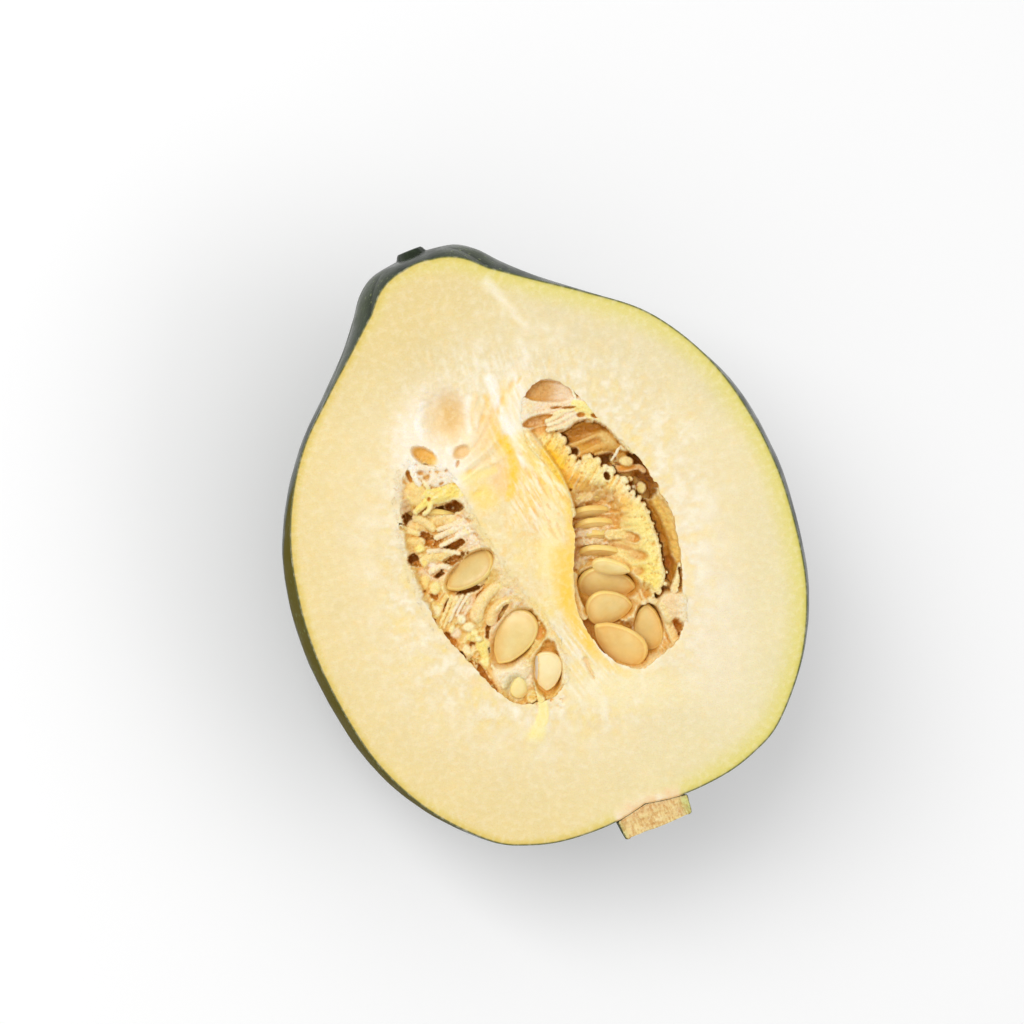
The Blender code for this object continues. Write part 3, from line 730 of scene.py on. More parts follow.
def body_points():
    """The flesh and rind as one closed body: points, faces, kinds, colours and values."""
    rows, grooves = rind_point_rows()
    ends = [(0.0, STEM_DIMPLE, 0.0), (rows[-1][:, 0].mean(), SCAR_BOTTOM, rows[-1][:, 2].mean())]
    points, faces, groove, rim = cut_rings(rows, ends, grooves)
    rim_loop = points[rim][:, :2]
    left = chamber_outline(LEFT_CHAMBER, 51)
    right = chamber_outline(RIGHT_CHAMBER, 61)
    rim_tree = tree_of([curve_points(rim_loop, RIM_STEPS, closed=True)])

    core_px = grid(*CORE_AREA, CORE_GRAIN, 5)
    core = np.column_stack(on_cut(core_px[:, 0], core_px[:, 1]))
    broad = grid(*FACE_AREA, FACE_GRAIN, 7)
    broad_px = np.column_stack(in_picture(broad[:, 0], broad[:, 1]))
    x0, x1, y0, y1 = CORE_AREA
    in_core = ((broad_px[:, 0] > x0 - CORE_GAP) & (broad_px[:, 0] < x1 + CORE_GAP)
               & (broad_px[:, 1] > y0 - CORE_GAP) & (broad_px[:, 1] < y1 + CORE_GAP))
    broad = broad[~in_core]
    along = np.roll(rim_loop, -1, axis=0) - np.roll(rim_loop, 1, axis=0)
    across = np.column_stack([-along[:, 1], along[:, 0]])
    across /= np.linalg.norm(across, axis=1)[:, None]
    if not inside((rim_loop + across * 0.01)[:1], rim_loop)[0]:
        across = -across
    rows_in = [rim_loop + across * d for d in RIM_ROWS]
    extra = np.vstack([core, broad] + rows_in)
    far = distances(extra, rim_tree)
    near = distances(extra, tree_of([left, right]))
    deep_in = far > RIM_CLEAR
    deep_in[len(core) + len(broad):] = far[len(core) + len(broad):] > ROW_CLEAR
    keep = inside(extra, rim_loop) & deep_in & (near > EDGE_CLEAR)
    keep &= ~inside(extra, left) & ~inside(extra, right)
    extra = extra[keep]
    flat, tris = sheet(rim_loop, [left, right], extra)

    px, py = in_picture(flat[:, 0], flat[:, 1])
    patch = Patch(px, py, 0.0, CREAM)
    from_rind = distances(flat, rim_tree)
    paint_face(patch, from_rind)
    near = distances(flat, tree_of([left, right]))
    patch.z[:len(rim_loop)] = 0.0
    on_edge = slice(len(rim_loop), len(rim_loop) + len(left) + len(right))
    patch.z[on_edge] = np.minimum(patch.z[on_edge], 0.0)
    hold = ramp(near, 0.0, 0.6)
    patch.z *= np.where(patch.z > 0.0, hold, 1.0)
    patch.z -= 0.06 * (1.0 - ramp(near, 0.0, 0.4))
    patch.z[:len(rim_loop)] = 0.0
    x, y = below(flat[:, 0], flat[:, 1], patch.z)
    face_points = np.column_stack([x, y, patch.z])

    all_points = [points, face_points[len(rim):]]
    all_faces = with_face(points, faces, rim, flat, tris)
    kinds = [1] * len(faces) + [0] * len(tris)
    colour = [np.tile(tone(0x1E2A20), (len(points), 1)), patch.colour[len(rim):]]
    colour[0][rim] = patch.colour[:len(rim)]
    count = sum(len(p) for p in all_points)

    start = len(points)
    for loop, seed in ((left, 71), (right, 81)):
        n, upper = len(loop), start
        start += n
        rings, middle = wall_rings(loop)
        # The wall's colour, darker and more orange towards the bottom: painted shade down the chamber
        wall_colour_and_shade = (tone(0xFAE8B4), tone(0xF9DE96), tone(0xF6CE7A),
                       tone(0xF0BE62), tone(0xEAAC4C))
        for k, ring in enumerate(rings[1:]):
            all_points.append(ring)
            share = min(k, 4)
            grainy = 1.0 + 0.08 * layered(ring[:, 0] / 0.9, ring[:, 1] / 0.9 + ring[:, 2], seed, 2)
            colour.append(wall_colour_and_shade[share] * grainy[:, None])
            all_faces += band(upper, count, n)
            kinds += [0] * n
            upper = count
            count += n
        all_points.append(np.array([(middle[0], middle[1], CHAMBER_LEVELS[-1][0] - 0.8)]))
        colour.append(wall_colour_and_shade[-1][None, :])
        all_faces += [(upper + i, upper + (i + 1) % n, count) for i in range(n)]
        kinds += [0] * n
        count += 1
    all_points = np.vstack(all_points)
    olive = ramp(points[:, 0], -40.0, -54.0) * ramp(points[:, 2], -14.0, -3.0) * 0.9
    values = {"groove": np.concatenate([groove, np.ones(count - len(points))]),
              "left": np.concatenate([olive, np.zeros(count - len(points))])}
    return all_points, all_faces, kinds, np.vstack(colour), values, left, right


class Net:
    """Builds a material's nodes."""

    def __init__(self, name):
        self.material = bpy.data.materials.new(name)
        self.material.use_nodes = True
        self.tree = self.material.node_tree
        self.shader = self.tree.nodes["Principled BSDF"]
        fruit = self.add("ShaderNodeMapping", vector_type="TEXTURE")
        fruit.inputs["Location"].default_value = PLACE.translation
        fruit.inputs["Rotation"].default_value = PLACE.to_euler()
        self.link(self.add("ShaderNodeTexCoord").outputs["Object"], fruit.inputs["Vector"])
        self.place = fruit.outputs["Vector"]

    def add(self, kind, **settings):
        node = self.tree.nodes.new(kind)
        for key, value in settings.items():
            setattr(node, key, value)
        return node

    def link(self, source, target):
        self.tree.links.new(source, target)

    def value(self, name):
        return self.add("ShaderNodeAttribute", attribute_name=name).outputs["Fac"]

    def colour(self):
        return self.add("ShaderNodeAttribute", attribute_name="tone").outputs["Color"]

    def stretched(self, scale):
        node = self.add("ShaderNodeVectorMath", operation="MULTIPLY")
        self.link(self.place, node.inputs[0])
        node.inputs[1].default_value = scale
        return node.outputs[0]

    def noise(self, scale, detail=3.0, rough=0.55):
        node = self.add("ShaderNodeTexNoise")
        node.inputs["Scale"].default_value = 1.0
        node.inputs["Detail"].default_value = detail
        node.inputs["Roughness"].default_value = rough
        spread = scale if isinstance(scale, tuple) else (scale, scale, scale)
        self.link(self.stretched(spread), node.inputs["Vector"])
        return node.outputs["Fac"]

    def cells(self, scale, output="Distance"):
        node = self.add("ShaderNodeTexVoronoi")
        node.inputs["Scale"].default_value = 1.0
        self.link(self.stretched(scale), node.inputs["Vector"])
        return node.outputs[output]

    def math(self, operation, a, b):
        node = self.add("ShaderNodeMath", operation=operation)
        for socket, value in zip(node.inputs, (a, b)):
            if isinstance(value, (int, float)):
                socket.default_value = value
            else:
                self.link(value, socket)
        return node.outputs[0]

    def span(self, source, low, high, to_low=0.0, to_high=1.0):
        node = self.add("ShaderNodeMapRange", interpolation_type="SMOOTHSTEP")
        self.link(source, node.inputs["Value"])
        for key, number in zip(("From Min", "From Max", "To Min", "To Max"),
                               (low, high, to_low, to_high)):
            node.inputs[key].default_value = number
        return node.outputs[0]

    def mix(self, factor, a, b, blend="MIX"):
        node = self.add("ShaderNodeMix", data_type="RGBA", blend_type=blend)
        for socket, value in ((node.inputs[0], factor), (node.inputs[6], a), (node.inputs[7], b)):
            if isinstance(value, (int, float)):
                socket.default_value = value
            elif isinstance(value, np.ndarray):
                socket.default_value = (*[float(v) for v in value], 1.0)
            else:
                self.link(value, socket)
        return node.outputs[2]

    def bump(self, height, distance, strength=1.0, under=None):
        node = self.add("ShaderNodeBump")
        node.inputs["Strength"].default_value = strength
        node.inputs["Distance"].default_value = distance
        self.link(height, node.inputs["Height"])
        if under is not None:
            self.link(under, node.inputs["Normal"])
        return node.outputs["Normal"]

    def finish(self, colour, roughness, normal, soft=0.0, reach=0.001, coat=0.0, gloss=0.5):
        """Joins everything to the shader: soft is the share of light that goes in under the skin."""
        self.link(colour, self.shader.inputs["Base Color"])
        if isinstance(roughness, float):
            self.shader.inputs["Roughness"].default_value = roughness
        else:
            self.link(roughness, self.shader.inputs["Roughness"])
        self.link(normal, self.shader.inputs["Normal"])
        self.shader.inputs["Specular IOR Level"].default_value = gloss
        if soft:
            self.shader.inputs["Subsurface Weight"].default_value = soft
            self.shader.inputs["Subsurface Radius"].default_value = (1.0, 0.74, 0.34)
            self.shader.inputs["Subsurface Scale"].default_value = reach
        if coat:
            self.shader.inputs["Coat Weight"].default_value = coat
            self.shader.inputs["Coat Roughness"].default_value = 0.12
        return self.material


def flesh_material():
    """Moist pale flesh with fine grain."""
    net = Net("flesh")
    fine = net.noise(2600.0, 3.0)
    medium = net.noise(620.0, 3.0)
    base = net.mix(net.span(medium, 0.42, 0.72, 0.0, 0.22), net.colour(), tone(0xFDF3D6))
    base = net.mix(net.span(fine, 0.5, 0.75, 0.0, 0.25), base, tone(0xF4D892), "MULTIPLY")
    rough = net.span(medium, 0.3, 0.7, 0.42, 0.6)
    rise = net.math("ADD", net.math("MULTIPLY", fine, 0.7), medium)
    normal = net.bump(rise, 0.00026, 0.55)
    return net.finish(base, rough, normal, 0.22, 0.0016, 0.0, 0.35)


def rind_material():
    """Dark green waxy rind with pale specks, darker in the grooves."""
    net = Net("rind")
    broad = net.noise(34.0, 3.0)
    groove = net.value("groove")
    dark = net.mix(net.span(broad, 0.35, 0.68), tone(0x182212), tone(0x303A1A))
    dark = net.mix(net.span(groove, 0.75, 0.15, 0.0, 0.5), dark, tone(0x121B0E))
    streaks = net.noise((420.0, 90.0, 420.0), 4.0, 0.6)
    dark = net.mix(net.span(streaks, 0.5, 0.78, 0.0, 0.5), dark, tone(0x3E4E32))
    uneven = net.math("MULTIPLY", net.noise(110.0, 5.0, 0.65), 0.9)
    olive = net.span(net.math("ADD", net.value("left"), uneven), 0.62, 1.2, 0.0, 0.95)
    dark = net.mix(olive, dark, tone(0x584E0A))
    speck = net.cells((760.0, 460.0, 760.0))
    chance = net.cells((760.0, 460.0, 760.0), "Color")
    some = net.span(chance, 0.44, 0.60)
    patchy = net.span(net.noise(70.0, 2.0), 0.40, 0.64, 0.15, 1.0)
    size = net.span(speck, 0.30, 0.16)
    amount = net.math("MULTIPLY", net.math("MULTIPLY", size, some), patchy)
    tiny = net.cells((1500.0, 900.0, 1500.0))
    dots = net.math("MULTIPLY", net.span(tiny, 0.22, 0.1, 0.0, 0.5), patchy)
    amount = net.math("MAXIMUM", amount, dots)
    base = net.mix(net.math("MULTIPLY", amount, 0.6), dark, tone(0x76804E))
    scuff = net.noise((260.0, 700.0, 260.0), 4.0, 0.65)
    base = net.mix(net.span(scuff, 0.68, 0.76, 0.0, 0.35), base, tone(0x787658))
    rough = net.span(net.noise(180.0, 4.0), 0.3, 0.7, 0.24, 0.40)
    dents = net.noise(240.0, 3.0)
    pores = net.noise(1500.0, 2.0)
    normal = net.bump(dents, 0.0006, 0.35)
    normal = net.bump(pores, 0.00012, 0.35, normal)
    normal = net.bump(amount, 0.00012, 0.5, normal)
    rough = net.math("ADD", rough, net.math("MULTIPLY", olive, 0.3))
    dull = net.span(olive, 0.0, 0.9, 0.28, 0.06)
    net.link(dull, net.shader.inputs["Specular IOR Level"])
    return net.finish(base, rough, normal, 0.0, 0.001, 0.0, 0.28)


def pulp_material():
    """Wet stringy pulp."""
    net = Net("pulp")
    fine = net.noise(2400.0, 4.0, 0.62)
    medium = net.noise(900.0, 3.0)
    base = net.mix(net.span(fine, 0.42, 0.72, 0.0, 0.45), net.colour(), tone(0xF6CE74), "MULTIPLY")
    base = net.mix(net.span(medium, 0.55, 0.8, 0.0, 0.15), base, tone(0xFDF0BE))
    rise = net.math("ADD", net.math("MULTIPLY", fine, 0.8), medium)
    normal = net.bump(rise, 0.0004, 0.7)
    rough = net.span(medium, 0.3, 0.7, 0.34, 0.55)
    return net.finish(base, rough, normal, 0.25, 0.0011, 0.05, 0.4)


def seed_material():
    """Smooth cream seed coat with a thin wet film."""
    net = Net("seed_coat")
    fine = net.noise(1900.0, 4.0)
    broad = net.noise(240.0, 3.0)
    base = net.mix(net.span(broad, 0.35, 0.7, 0.0, 0.3), net.colour(), tone(0xEED48C), "MULTIPLY")
    base = net.mix(net.span(fine, 0.5, 0.8, 0.0, 0.2), base, tone(0xFCECB4))
    normal = net.bump(fine, 0.0001, 0.3)
    rough = net.span(broad, 0.3, 0.7, 0.28, 0.44)
    return net.finish(base, rough, normal, 0.35, 0.0014, 0.15, 0.45)


def stem_material():
    """Woody stub: crumbly pale pith, green skin."""
    net = Net("stem")
    fibre = net.noise((1500.0, 420.0, 1500.0), 5.0, 0.65)
    crumb = net.noise(1800.0, 4.0, 0.6)
    base = net.mix(net.span(fibre, 0.42, 0.62, 0.0, 0.6), net.colour(), tone(0xD6A05C), "MULTIPLY")
    base = net.mix(net.span(crumb, 0.54, 0.72, 0.0, 0.6), base, tone(0xF6E6B4))
    rise = net.math("ADD", fibre, net.math("MULTIPLY", crumb, 0.7))
    normal = net.bump(rise, 0.0005, 0.8)
    return net.finish(base, 0.72, normal, 0.1, 0.0006, 0.0, 0.3)


# Middle x, y, z, turn of the point, lean about the length, dip of the point, and size
LEFT_SEEDS = (
    (-20.8, 18.6, -6.5, -27, 50, 6, 0.8), (-24.6, 26, -7.5, 60, 34, 14, 0.6),
    (-19, 4, -4.8, 199, 38, 4, 0.92), (-16.6, -4.2, -7.4, 203, 68, 10, 0.82),
    (-15.4, -8.6, -9, 205, 74, 10, 0.78), (-14.9, -16, -4.8, 218, 14, 5, 1),
    (-10.2, -27, -3.6, 248, 14, 4, 0.78), (-18.4, -28, -3.2, 60, 20, 8, 0.36),
    (-25.6, -16, -5.8, 100, 62, 14, 0.4), (-25, 10, -8.6, 188, 66, 20, 0.58),
    (-28.6, 0.2, -8.4, 200, 66, 30, 0.42), (-27.4, -4.2, -8, 235, 74, 14, 0.58),
)
RIGHT_SEEDS = (
    (9.7, -28, -6.8, 122, -28, 5, 1), (10.7, -18.8, -8.8, -17, 16, 5, 0.8),
    (12.6, -13.4, -11.4, -28, 26, 5, 0.98), (14.8, -9, -6, -34, 36, 4, 0.66),
    (14.3, -5.2, -9.6, -25, 64, 6, 0.80), (15.4, -1.2, -10, -22, 66, 8, 0.70),
    (15.3, 2.1, -9.6, -18, 62, 8, 0.70), (15.4, 5.4, -9.4, -16, 62, 8, 0.70),
    (15.4, 8.8, -9.6, -14, 62, 8, 0.66), (18.2, -27.4, -8.8, 73, -24, -8, 0.8),
    (25, -21.8, -9, 66, -40, -8, 0.6), (27, 13.8, -11.4, 110, 40, 10, 0.5),
    (29.4, 6.2, -11.6, 100, 50, 10, 0.44),
)
# Seeds that differ: breadth, where the knife cut along the side, brightness, which paints light on a
# seed above 1 and shade below 1, and paleness
SEED_CHANGES = {
    ("right", 1): (1.06, None, 1.0, 0.14), ("right", 2): (1.18,), ("right", 3): (1.0, None, 1.06),
    ("right", 4): (0.72, None, 1.03, 0.45), ("left", 3): (1.0, None, 0.88),
    ("left", 6): (1.0, None, 0.95, 0.15), ("left", 7): (1.0, -3.0), ("left", 8): (1.3, None, 1.0, 0.7),
}
SEED_LENGTH = 15.6
SEED_WIDTH = 9.6
SEED_THICKNESS = 2.6
SEED_THINNING = 0.45
SEED_TAPER = 0.3
CUT_SEED_LENGTH = 0.84
CUT_SEED_SLANT = 0.75
SEED_AROUND = 96
STRAND_STEPS = 20
STRAND_SIDES = 8
# Share of the way out, height of the coat there, and how far it takes the rim's colour
SEED_SECTION = (
    (0, 1, 0), (0.25, 0.985, 0), (0.45, 0.95, 0), (0.6, 0.89, 0), (0.72, 0.8, 0.1), (0.80, 0.71, 0.3),
    (0.85, 0.64, 0.7), (0.885, 0.63, 0.6), (0.92, 0.62, 0.25), (0.95, 0.54, 0.1), (0.972, 0.41, 0.1),
    (0.99, 0.22, 0.3), (1, 0, 0.6),
)


def seed_place(row):
    """How a seed lies in the fruit's frame."""
    x, y, z, turn, lean, dip, _ = row
    place = Matrix.Rotation(math.radians(turn), 4, "Z")
    place = place @ Matrix.Rotation(math.radians(dip), 4, "Y")
    place = place @ Matrix.Rotation(math.radians(lean), 4, "X")
    return Matrix.Translation((x, y, z)) @ place


def seed_points(row, seed, breadth=1.0, cut_at=None, shade=1.0, pale=0.0):
    """A seed's points, faces and colours: flat, drop-shaped, with a raised rim, whole or cut."""
    size = row[-1]
    length, width = SEED_LENGTH * size / 2, SEED_WIDTH * size / 2
    half = SEED_THICKNESS * (1.0 - SEED_THINNING * (1.0 - size)) / 2
    t = np.linspace(0.0, 2 * math.pi, SEED_AROUND, endpoint=False)
    narrow = 1.0 - SEED_TAPER * np.cos(t)
    narrow = narrow * (1.0 - 0.30 * ramp(np.cos(t), 0.72, 1.0))
    ex, ey = length * np.cos(t), width * np.sin(t) * narrow
    ey = ey * (1.0 + 0.02 * noise(t * 2.0, t * 0.0 + seed, 3))
    points, colour = [], []
    plain, rim = tone(0xF2D68E), tone(0xE8B658)
    edge, heart = tone(0xF7DC88), tone(0xECD48E)
    for side in (1, -1):
        for share, rise, rimmed in SEED_SECTION[:: 1 if side > 0 else -1]:
            if side < 0 and share == 1.0:
                continue
            if share == 0.0:
                points.append(np.array([(0.0, 0.0, side * half)]))
                colour.append(heart[None, :].copy())
                continue
            x, y = ex * share, ey * share
            dents = 0.035 * layered(x / 2.6 + seed, y / 2.6, 5, 2) * (1.0 if share < 0.8 else 0.3)
            z = side * half * (rise + dents)
            points.append(np.column_stack([x, y, z]))
            base = plain + (heart - plain) * (1.0 - share) * 0.8
            tint = base + (rim - base) * rimmed * 0.7
            if share > 0.9:
                tint = edge
            mottled = 1.0 + 0.05 * layered(x / 1.2 + 3.0 * seed, y / 1.2, 8, 2)
            # Painted shade: one side of the seed turns golden-orange towards its edge
            shaded_side = ramp(-np.sin(t), -0.4, 1.0)[:, None] * share * 0.35
            tint = tint * (1.0 - shaded_side) + tone(0xF0BA58) * shaded_side
            colour.append(tint * mottled[:, None])
    faces, start, rings = [], 1, len(SEED_SECTION) * 2 - 3
    n = SEED_AROUND
    for i in range(n):
        faces.append((0, start + i, start + (i + 1) % n))
    for r in range(rings - 1):
        faces += band(start + r * n, start + (r + 1) * n, n, turned=True)
    a = start + (rings - 1) * n
    end = a + n
    for i in range(n):
        faces.append((a + i, end, a + (i + 1) % n))
    points, colour = np.vstack(points), np.vstack(colour)
    bend = 0.10 * half * ((points[:, 0] / length) ** 2)
    points[:, 2] += bend * (1 if seed % 2 else -1)
    points[:, 1] *= breadth
    if cut_at is not None:
        points[:, 0] *= CUT_SEED_LENGTH
        colour = colour + 0.7 * (tone(0xFBEEC2) - colour)
        knife = cut_at + CUT_SEED_SLANT * points[:, 2]
        over = knife - points[:, 1]
        points[:, 1] = np.maximum(points[:, 1], knife)
        colour = colour + ramp(over, -0.5, 0.02)[:, None] * (tone(0xEEC46E) - colour)
        colour = colour + ramp(over, 0.10, 0.2)[:, None] * (tone(0xE2DED4) - colour)
    # The brightness factor paints light on the seed above 1 and shade below 1
    colour = (colour + pale * (tone(0xFBF0B0) - colour)) * shade
    place = np.array(seed_place(row))
    points = points @ place[:3, :3].T + place[:3, 3]
    return points, faces, np.clip(colour, 0.0, 1.0)


def strand_points(line, wide, thick, colour, end):
    """A loose fibre along points given as pixel and height: its points, faces and colours."""
    line = curve_points(np.array(line, float), STRAND_STEPS)
    path = np.column_stack([spot(p[0], p[1], p[2])[0] for p in line]).T
    ahead = np.gradient(path, axis=0)
    ahead /= np.linalg.norm(ahead, axis=1)[:, None]
    side = np.cross(ahead, np.array((0.0, 0.0, 1.0)))
    side /= np.linalg.norm(side, axis=1)[:, None]
    over = np.cross(side, ahead)
    share = np.linspace(0.0, 1.0, len(path))
    shape = end + (1.0 - end) * np.sin(np.pi * share) ** 0.6
    shape = shape * (1.0 + 0.22 * noise(share * 7.0, share * 0.0, 77))
    turn = np.linspace(0.0, 2 * math.pi, STRAND_SIDES, endpoint=False)
    points, faces, colours = [], [], []
    for k in range(len(path)):
        ragged = 1.0 + 0.15 * noise(turn * 1.3, turn * 0.0 + k * 0.7, 78)
        points.append(path[k] + np.outer(np.cos(turn) * wide * shape[k] * ragged, side[k])
                      + np.outer(np.sin(turn) * thick * shape[k] * ragged, over[k]))
        light = 1.0 + 0.08 * noise(turn * 2.0 + k * 0.4, turn * 0.0, 79)
        colours.append(colour * light[:, None])
    for k in range(len(path) - 1):
        faces += band(k * STRAND_SIDES, (k + 1) * STRAND_SIDES, STRAND_SIDES)
    last = (len(path) - 1) * STRAND_SIDES
    faces.append(tuple(range(STRAND_SIDES - 1, -1, -1)))
    faces.append(tuple(range(last, last + STRAND_SIDES)))
    return np.vstack(points), faces, np.clip(np.vstack(colours), 0.0, 1.0)


# A seed presses the pulp down unless it leans more than this; its socket's size and depth
SOCKET_LEAN = 58.0
SOCKET_SIZE = 1.03
SOCKET_SINK = 0.9


def sockets(patch, rows, covered):
    """Presses the surface down under each seed that lies flat and bare, and paints shade round it."""
    for i, (x, y, z, turn, lean, _, size) in enumerate(rows, 1):
        if abs(lean) > SOCKET_LEAN or i in covered:
            continue
        ax, ay = below(x, y, z)
        px, py = in_picture(2 * x - ax, 2 * y - ay)
        tilt = abs(math.cos(math.radians(lean)))
        rx = SEED_LENGTH * size / 2 / PIXEL * SOCKET_SIZE
        ry = SEED_WIDTH * size / 2 / PIXEL * SOCKET_SIZE * max(tilt, 0.5)
        hole = patch.oval(px, py, rx, ry, turn + PICTURE_TURN, 0.12)
        low = np.minimum(patch.z, z - SOCKET_SINK)
        patch.z += hole * (low - patch.z)
        # A golden ring of painted shade round the seed
        shade = patch.oval(px, py, rx * 1.06, ry * 1.08, turn + PICTURE_TURN, 0.15)
        patch.tint(shade * 0.5, 0xF0BA54)


def paint_left(patch):
    """Shape and colour of the left chamber's pulp."""
    patch.z[:] = 0.0
    patch.colour[:] = tone(NEAR_CAVITY)
    paint_core(patch)
    face_z, face_colour = patch.z - 0.02 + 0.14 * patch.specks(3.4, 94), patch.colour.copy()
    side, _, _ = patch.along([(452, 470), (459, 487), (475, 520), (495, 555), (520, 590), (545, 620),
                              (562, 650), (566, 682)])
    wall, _, _ = patch.along([(398, 470), (396, 520), (408, 575), (436, 640), (470, 690), (498, 706)])
    patch.z = -0.2 - 3.1 * ramp(side, 1.0, 26.0) + 2.9 * ramp(wall, 13.0, 1.5)
    patch.colour[:] = tone(0xECCB78)
    patch.tint(ramp(side, 14.0, 2.0), 0xF7E4B2)
    patch.tint(ramp(wall, 16.0, 3.0) * 0.6, 0xF0CC78)
    for x, y, rx, ry, turn in ((466, 532, 26, 20, 35), (464, 606, 15, 15, 40), (520, 590, 20, 22, -40),
                               (500, 640, 12, 30, 0), (515, 676, 24, 14, -14), (400, 508, 9, 22, 8)):
        patch.tint(patch.oval(x, y, rx, ry, turn, 0.5, 0.15, int(x)) * 0.75, 0xFAECD6)
    lower = ramp(patch.py, 560.0, 590.0)
    fibres = patch.grain(28, 3.2, 24, 3, 3) * (1.0 - lower) + patch.grain(52, 3.0, 24, 4, 3) * lower
    crumbly = patch.specks(3.6, 14)
    patch.z += 0.5 * fibres + 0.3 * crumbly
    patch.tint(ramp(fibres, 0.05, 0.6) * 0.45, 0xFBECC8)
    patch.tint(ramp(-fibres, 0.05, 0.6) * 0.6, 0xE6B04C)
    patch.tint(ramp(-crumbly, 0.15, 0.7) * 0.4, 0xE6AA42)

    # Pale tissue that carries the folds beside the column
    for x, y, rx, ry, turn, rise in ((466, 530, 26, 15, -34, -2), (462, 570, 17, 10, -40, -2.9),
                                     (434, 571, 15, 10, -20, -3.8)):
        tissue = patch.oval(x, y, rx, ry, turn, 0.35, 0.25, int(y))
        strand = patch.grain(-32, 2.4, 22, 106, 3) + 0.4 * patch.specks(2.6, 107)
        patch.lay(tissue, rise, 0xF8E6C8)
        patch.z += tissue * 0.4 * strand
        patch.veins(tissue, strand, (0.0, 0.5, 0.6, 0xFDF4E2), (0.05, 0.6, 0.5, 0xEECA8E))

    # Holes between the seeds and skins, dark with painted shade and ringed with orange painted shade:
    # middle, radii, turn, depth and colour
    for x, y, rx, ry, turn, deep, colour in (
            (446, 509, 17.5, 5, 10, -9, DARK), (453, 507, 8, 6, 14, -9.5, DARK),
            (408.5, 518.5, 5.6, 6, 40, -8.5, DARK), (405, 527, 9, 2.8, -30, -6, BROWN),
            (421, 533, 14, 3, -26, -7, BROWN), (429, 539.5, 7.5, 2.6, -6, -8.5, DARK),
            (431, 543, 9, 4, 4, -6.4, AMBER), (450, 547.5, 12, 3.4, 18, -8.4, DARK),
            (456, 543, 8, 3.6, 20, -7.2, BROWN), (413, 559.5, 4.6, 5.4, -40, -8.5, DARK),
            (417, 563, 7, 3, -16, -6, AMBER), (453, 560, 12.5, 4.8, 28, -7.4, BROWN),
            (444, 567, 5.6, 2.2, 28, -8.8, DARK), (438.5, 575, 4.6, 2.4, 36, -8.6, DARK),
            (420, 589, 4, 7, -20, -4.6, AMBER), (434, 596, 4, 3, 0, -5.4, AMBER),
            (467, 591, 13.5, 2.6, 18, -8.8, DARK), (446, 604, 2.6, 9, -14, -5.6, AMBER),
            (433.5, 624, 2.2, 6, 16, -4.6, AMBER), (451, 642, 5, 4, -30, -4.8, AMBER),
            (446, 637, 3, 3.6, 0, -6, AMBER), (461, 657, 3.2, 4.6, 10, -6.4, AMBER),
            (470, 662, 3, 3, 0, -5, AMBER), (472, 645, 3.2, 2.4, 0, -6, AMBER),
            (487, 650, 2.2, 12, 6, -6.2, AMBER), (484, 679, 3, 14, 30, -5.6, BROWN),
            (491, 688, 2.6, 7, 42, -4.8, AMBER), (479, 596, 2, 8, -34, -4.6, AMBER),
            (475, 612, 1.6, 7, -24, -4.8, AMBER), (503, 612, 2, 12, -30, -6.4, AMBER),
            (487, 634, 1.8, 13, -6, -6.6, AMBER)):
        hole = patch.oval(x, y, rx, ry, turn, 0.3, 0.5, int(x))
        hole = hole * ramp(hole + 0.6 * patch.specks(2.8, 108), 0.1, 0.5)
        # An orange ring of painted shade round the hole
        patch.tint(patch.oval(x, y, rx + 3.5, ry + 3.5, turn, 0.4, 0.25, int(x)) * 0.6, 0xEEA842)
        patch.lay(hole, deep, colour)

    # Sockets at the right of the two big seeds, orange with painted shade, and a darker strip of
    # painted shade in each
    for x, y, rx, ry, turn in ((537, 626, 9, 17, 12), (552, 655, 10.5, 13.5, 26)):
        hollow = patch.oval(x, y, rx, ry, turn, 0.16, 0.05, 3)
        patch.lay(hollow, -3.8, 0xECB058)
        patch.dust(hollow, 3, 44, 0.0, 0.6, 0.4, 0xDE9030)
    patch.dab(0.75, 0xE2901E, 539, 624, 4.5, 12.0, 12, 0.6)
    patch.dab(0.7, 0xE69222, 557, 660, 4.0, 9.0, 14, 0.6)

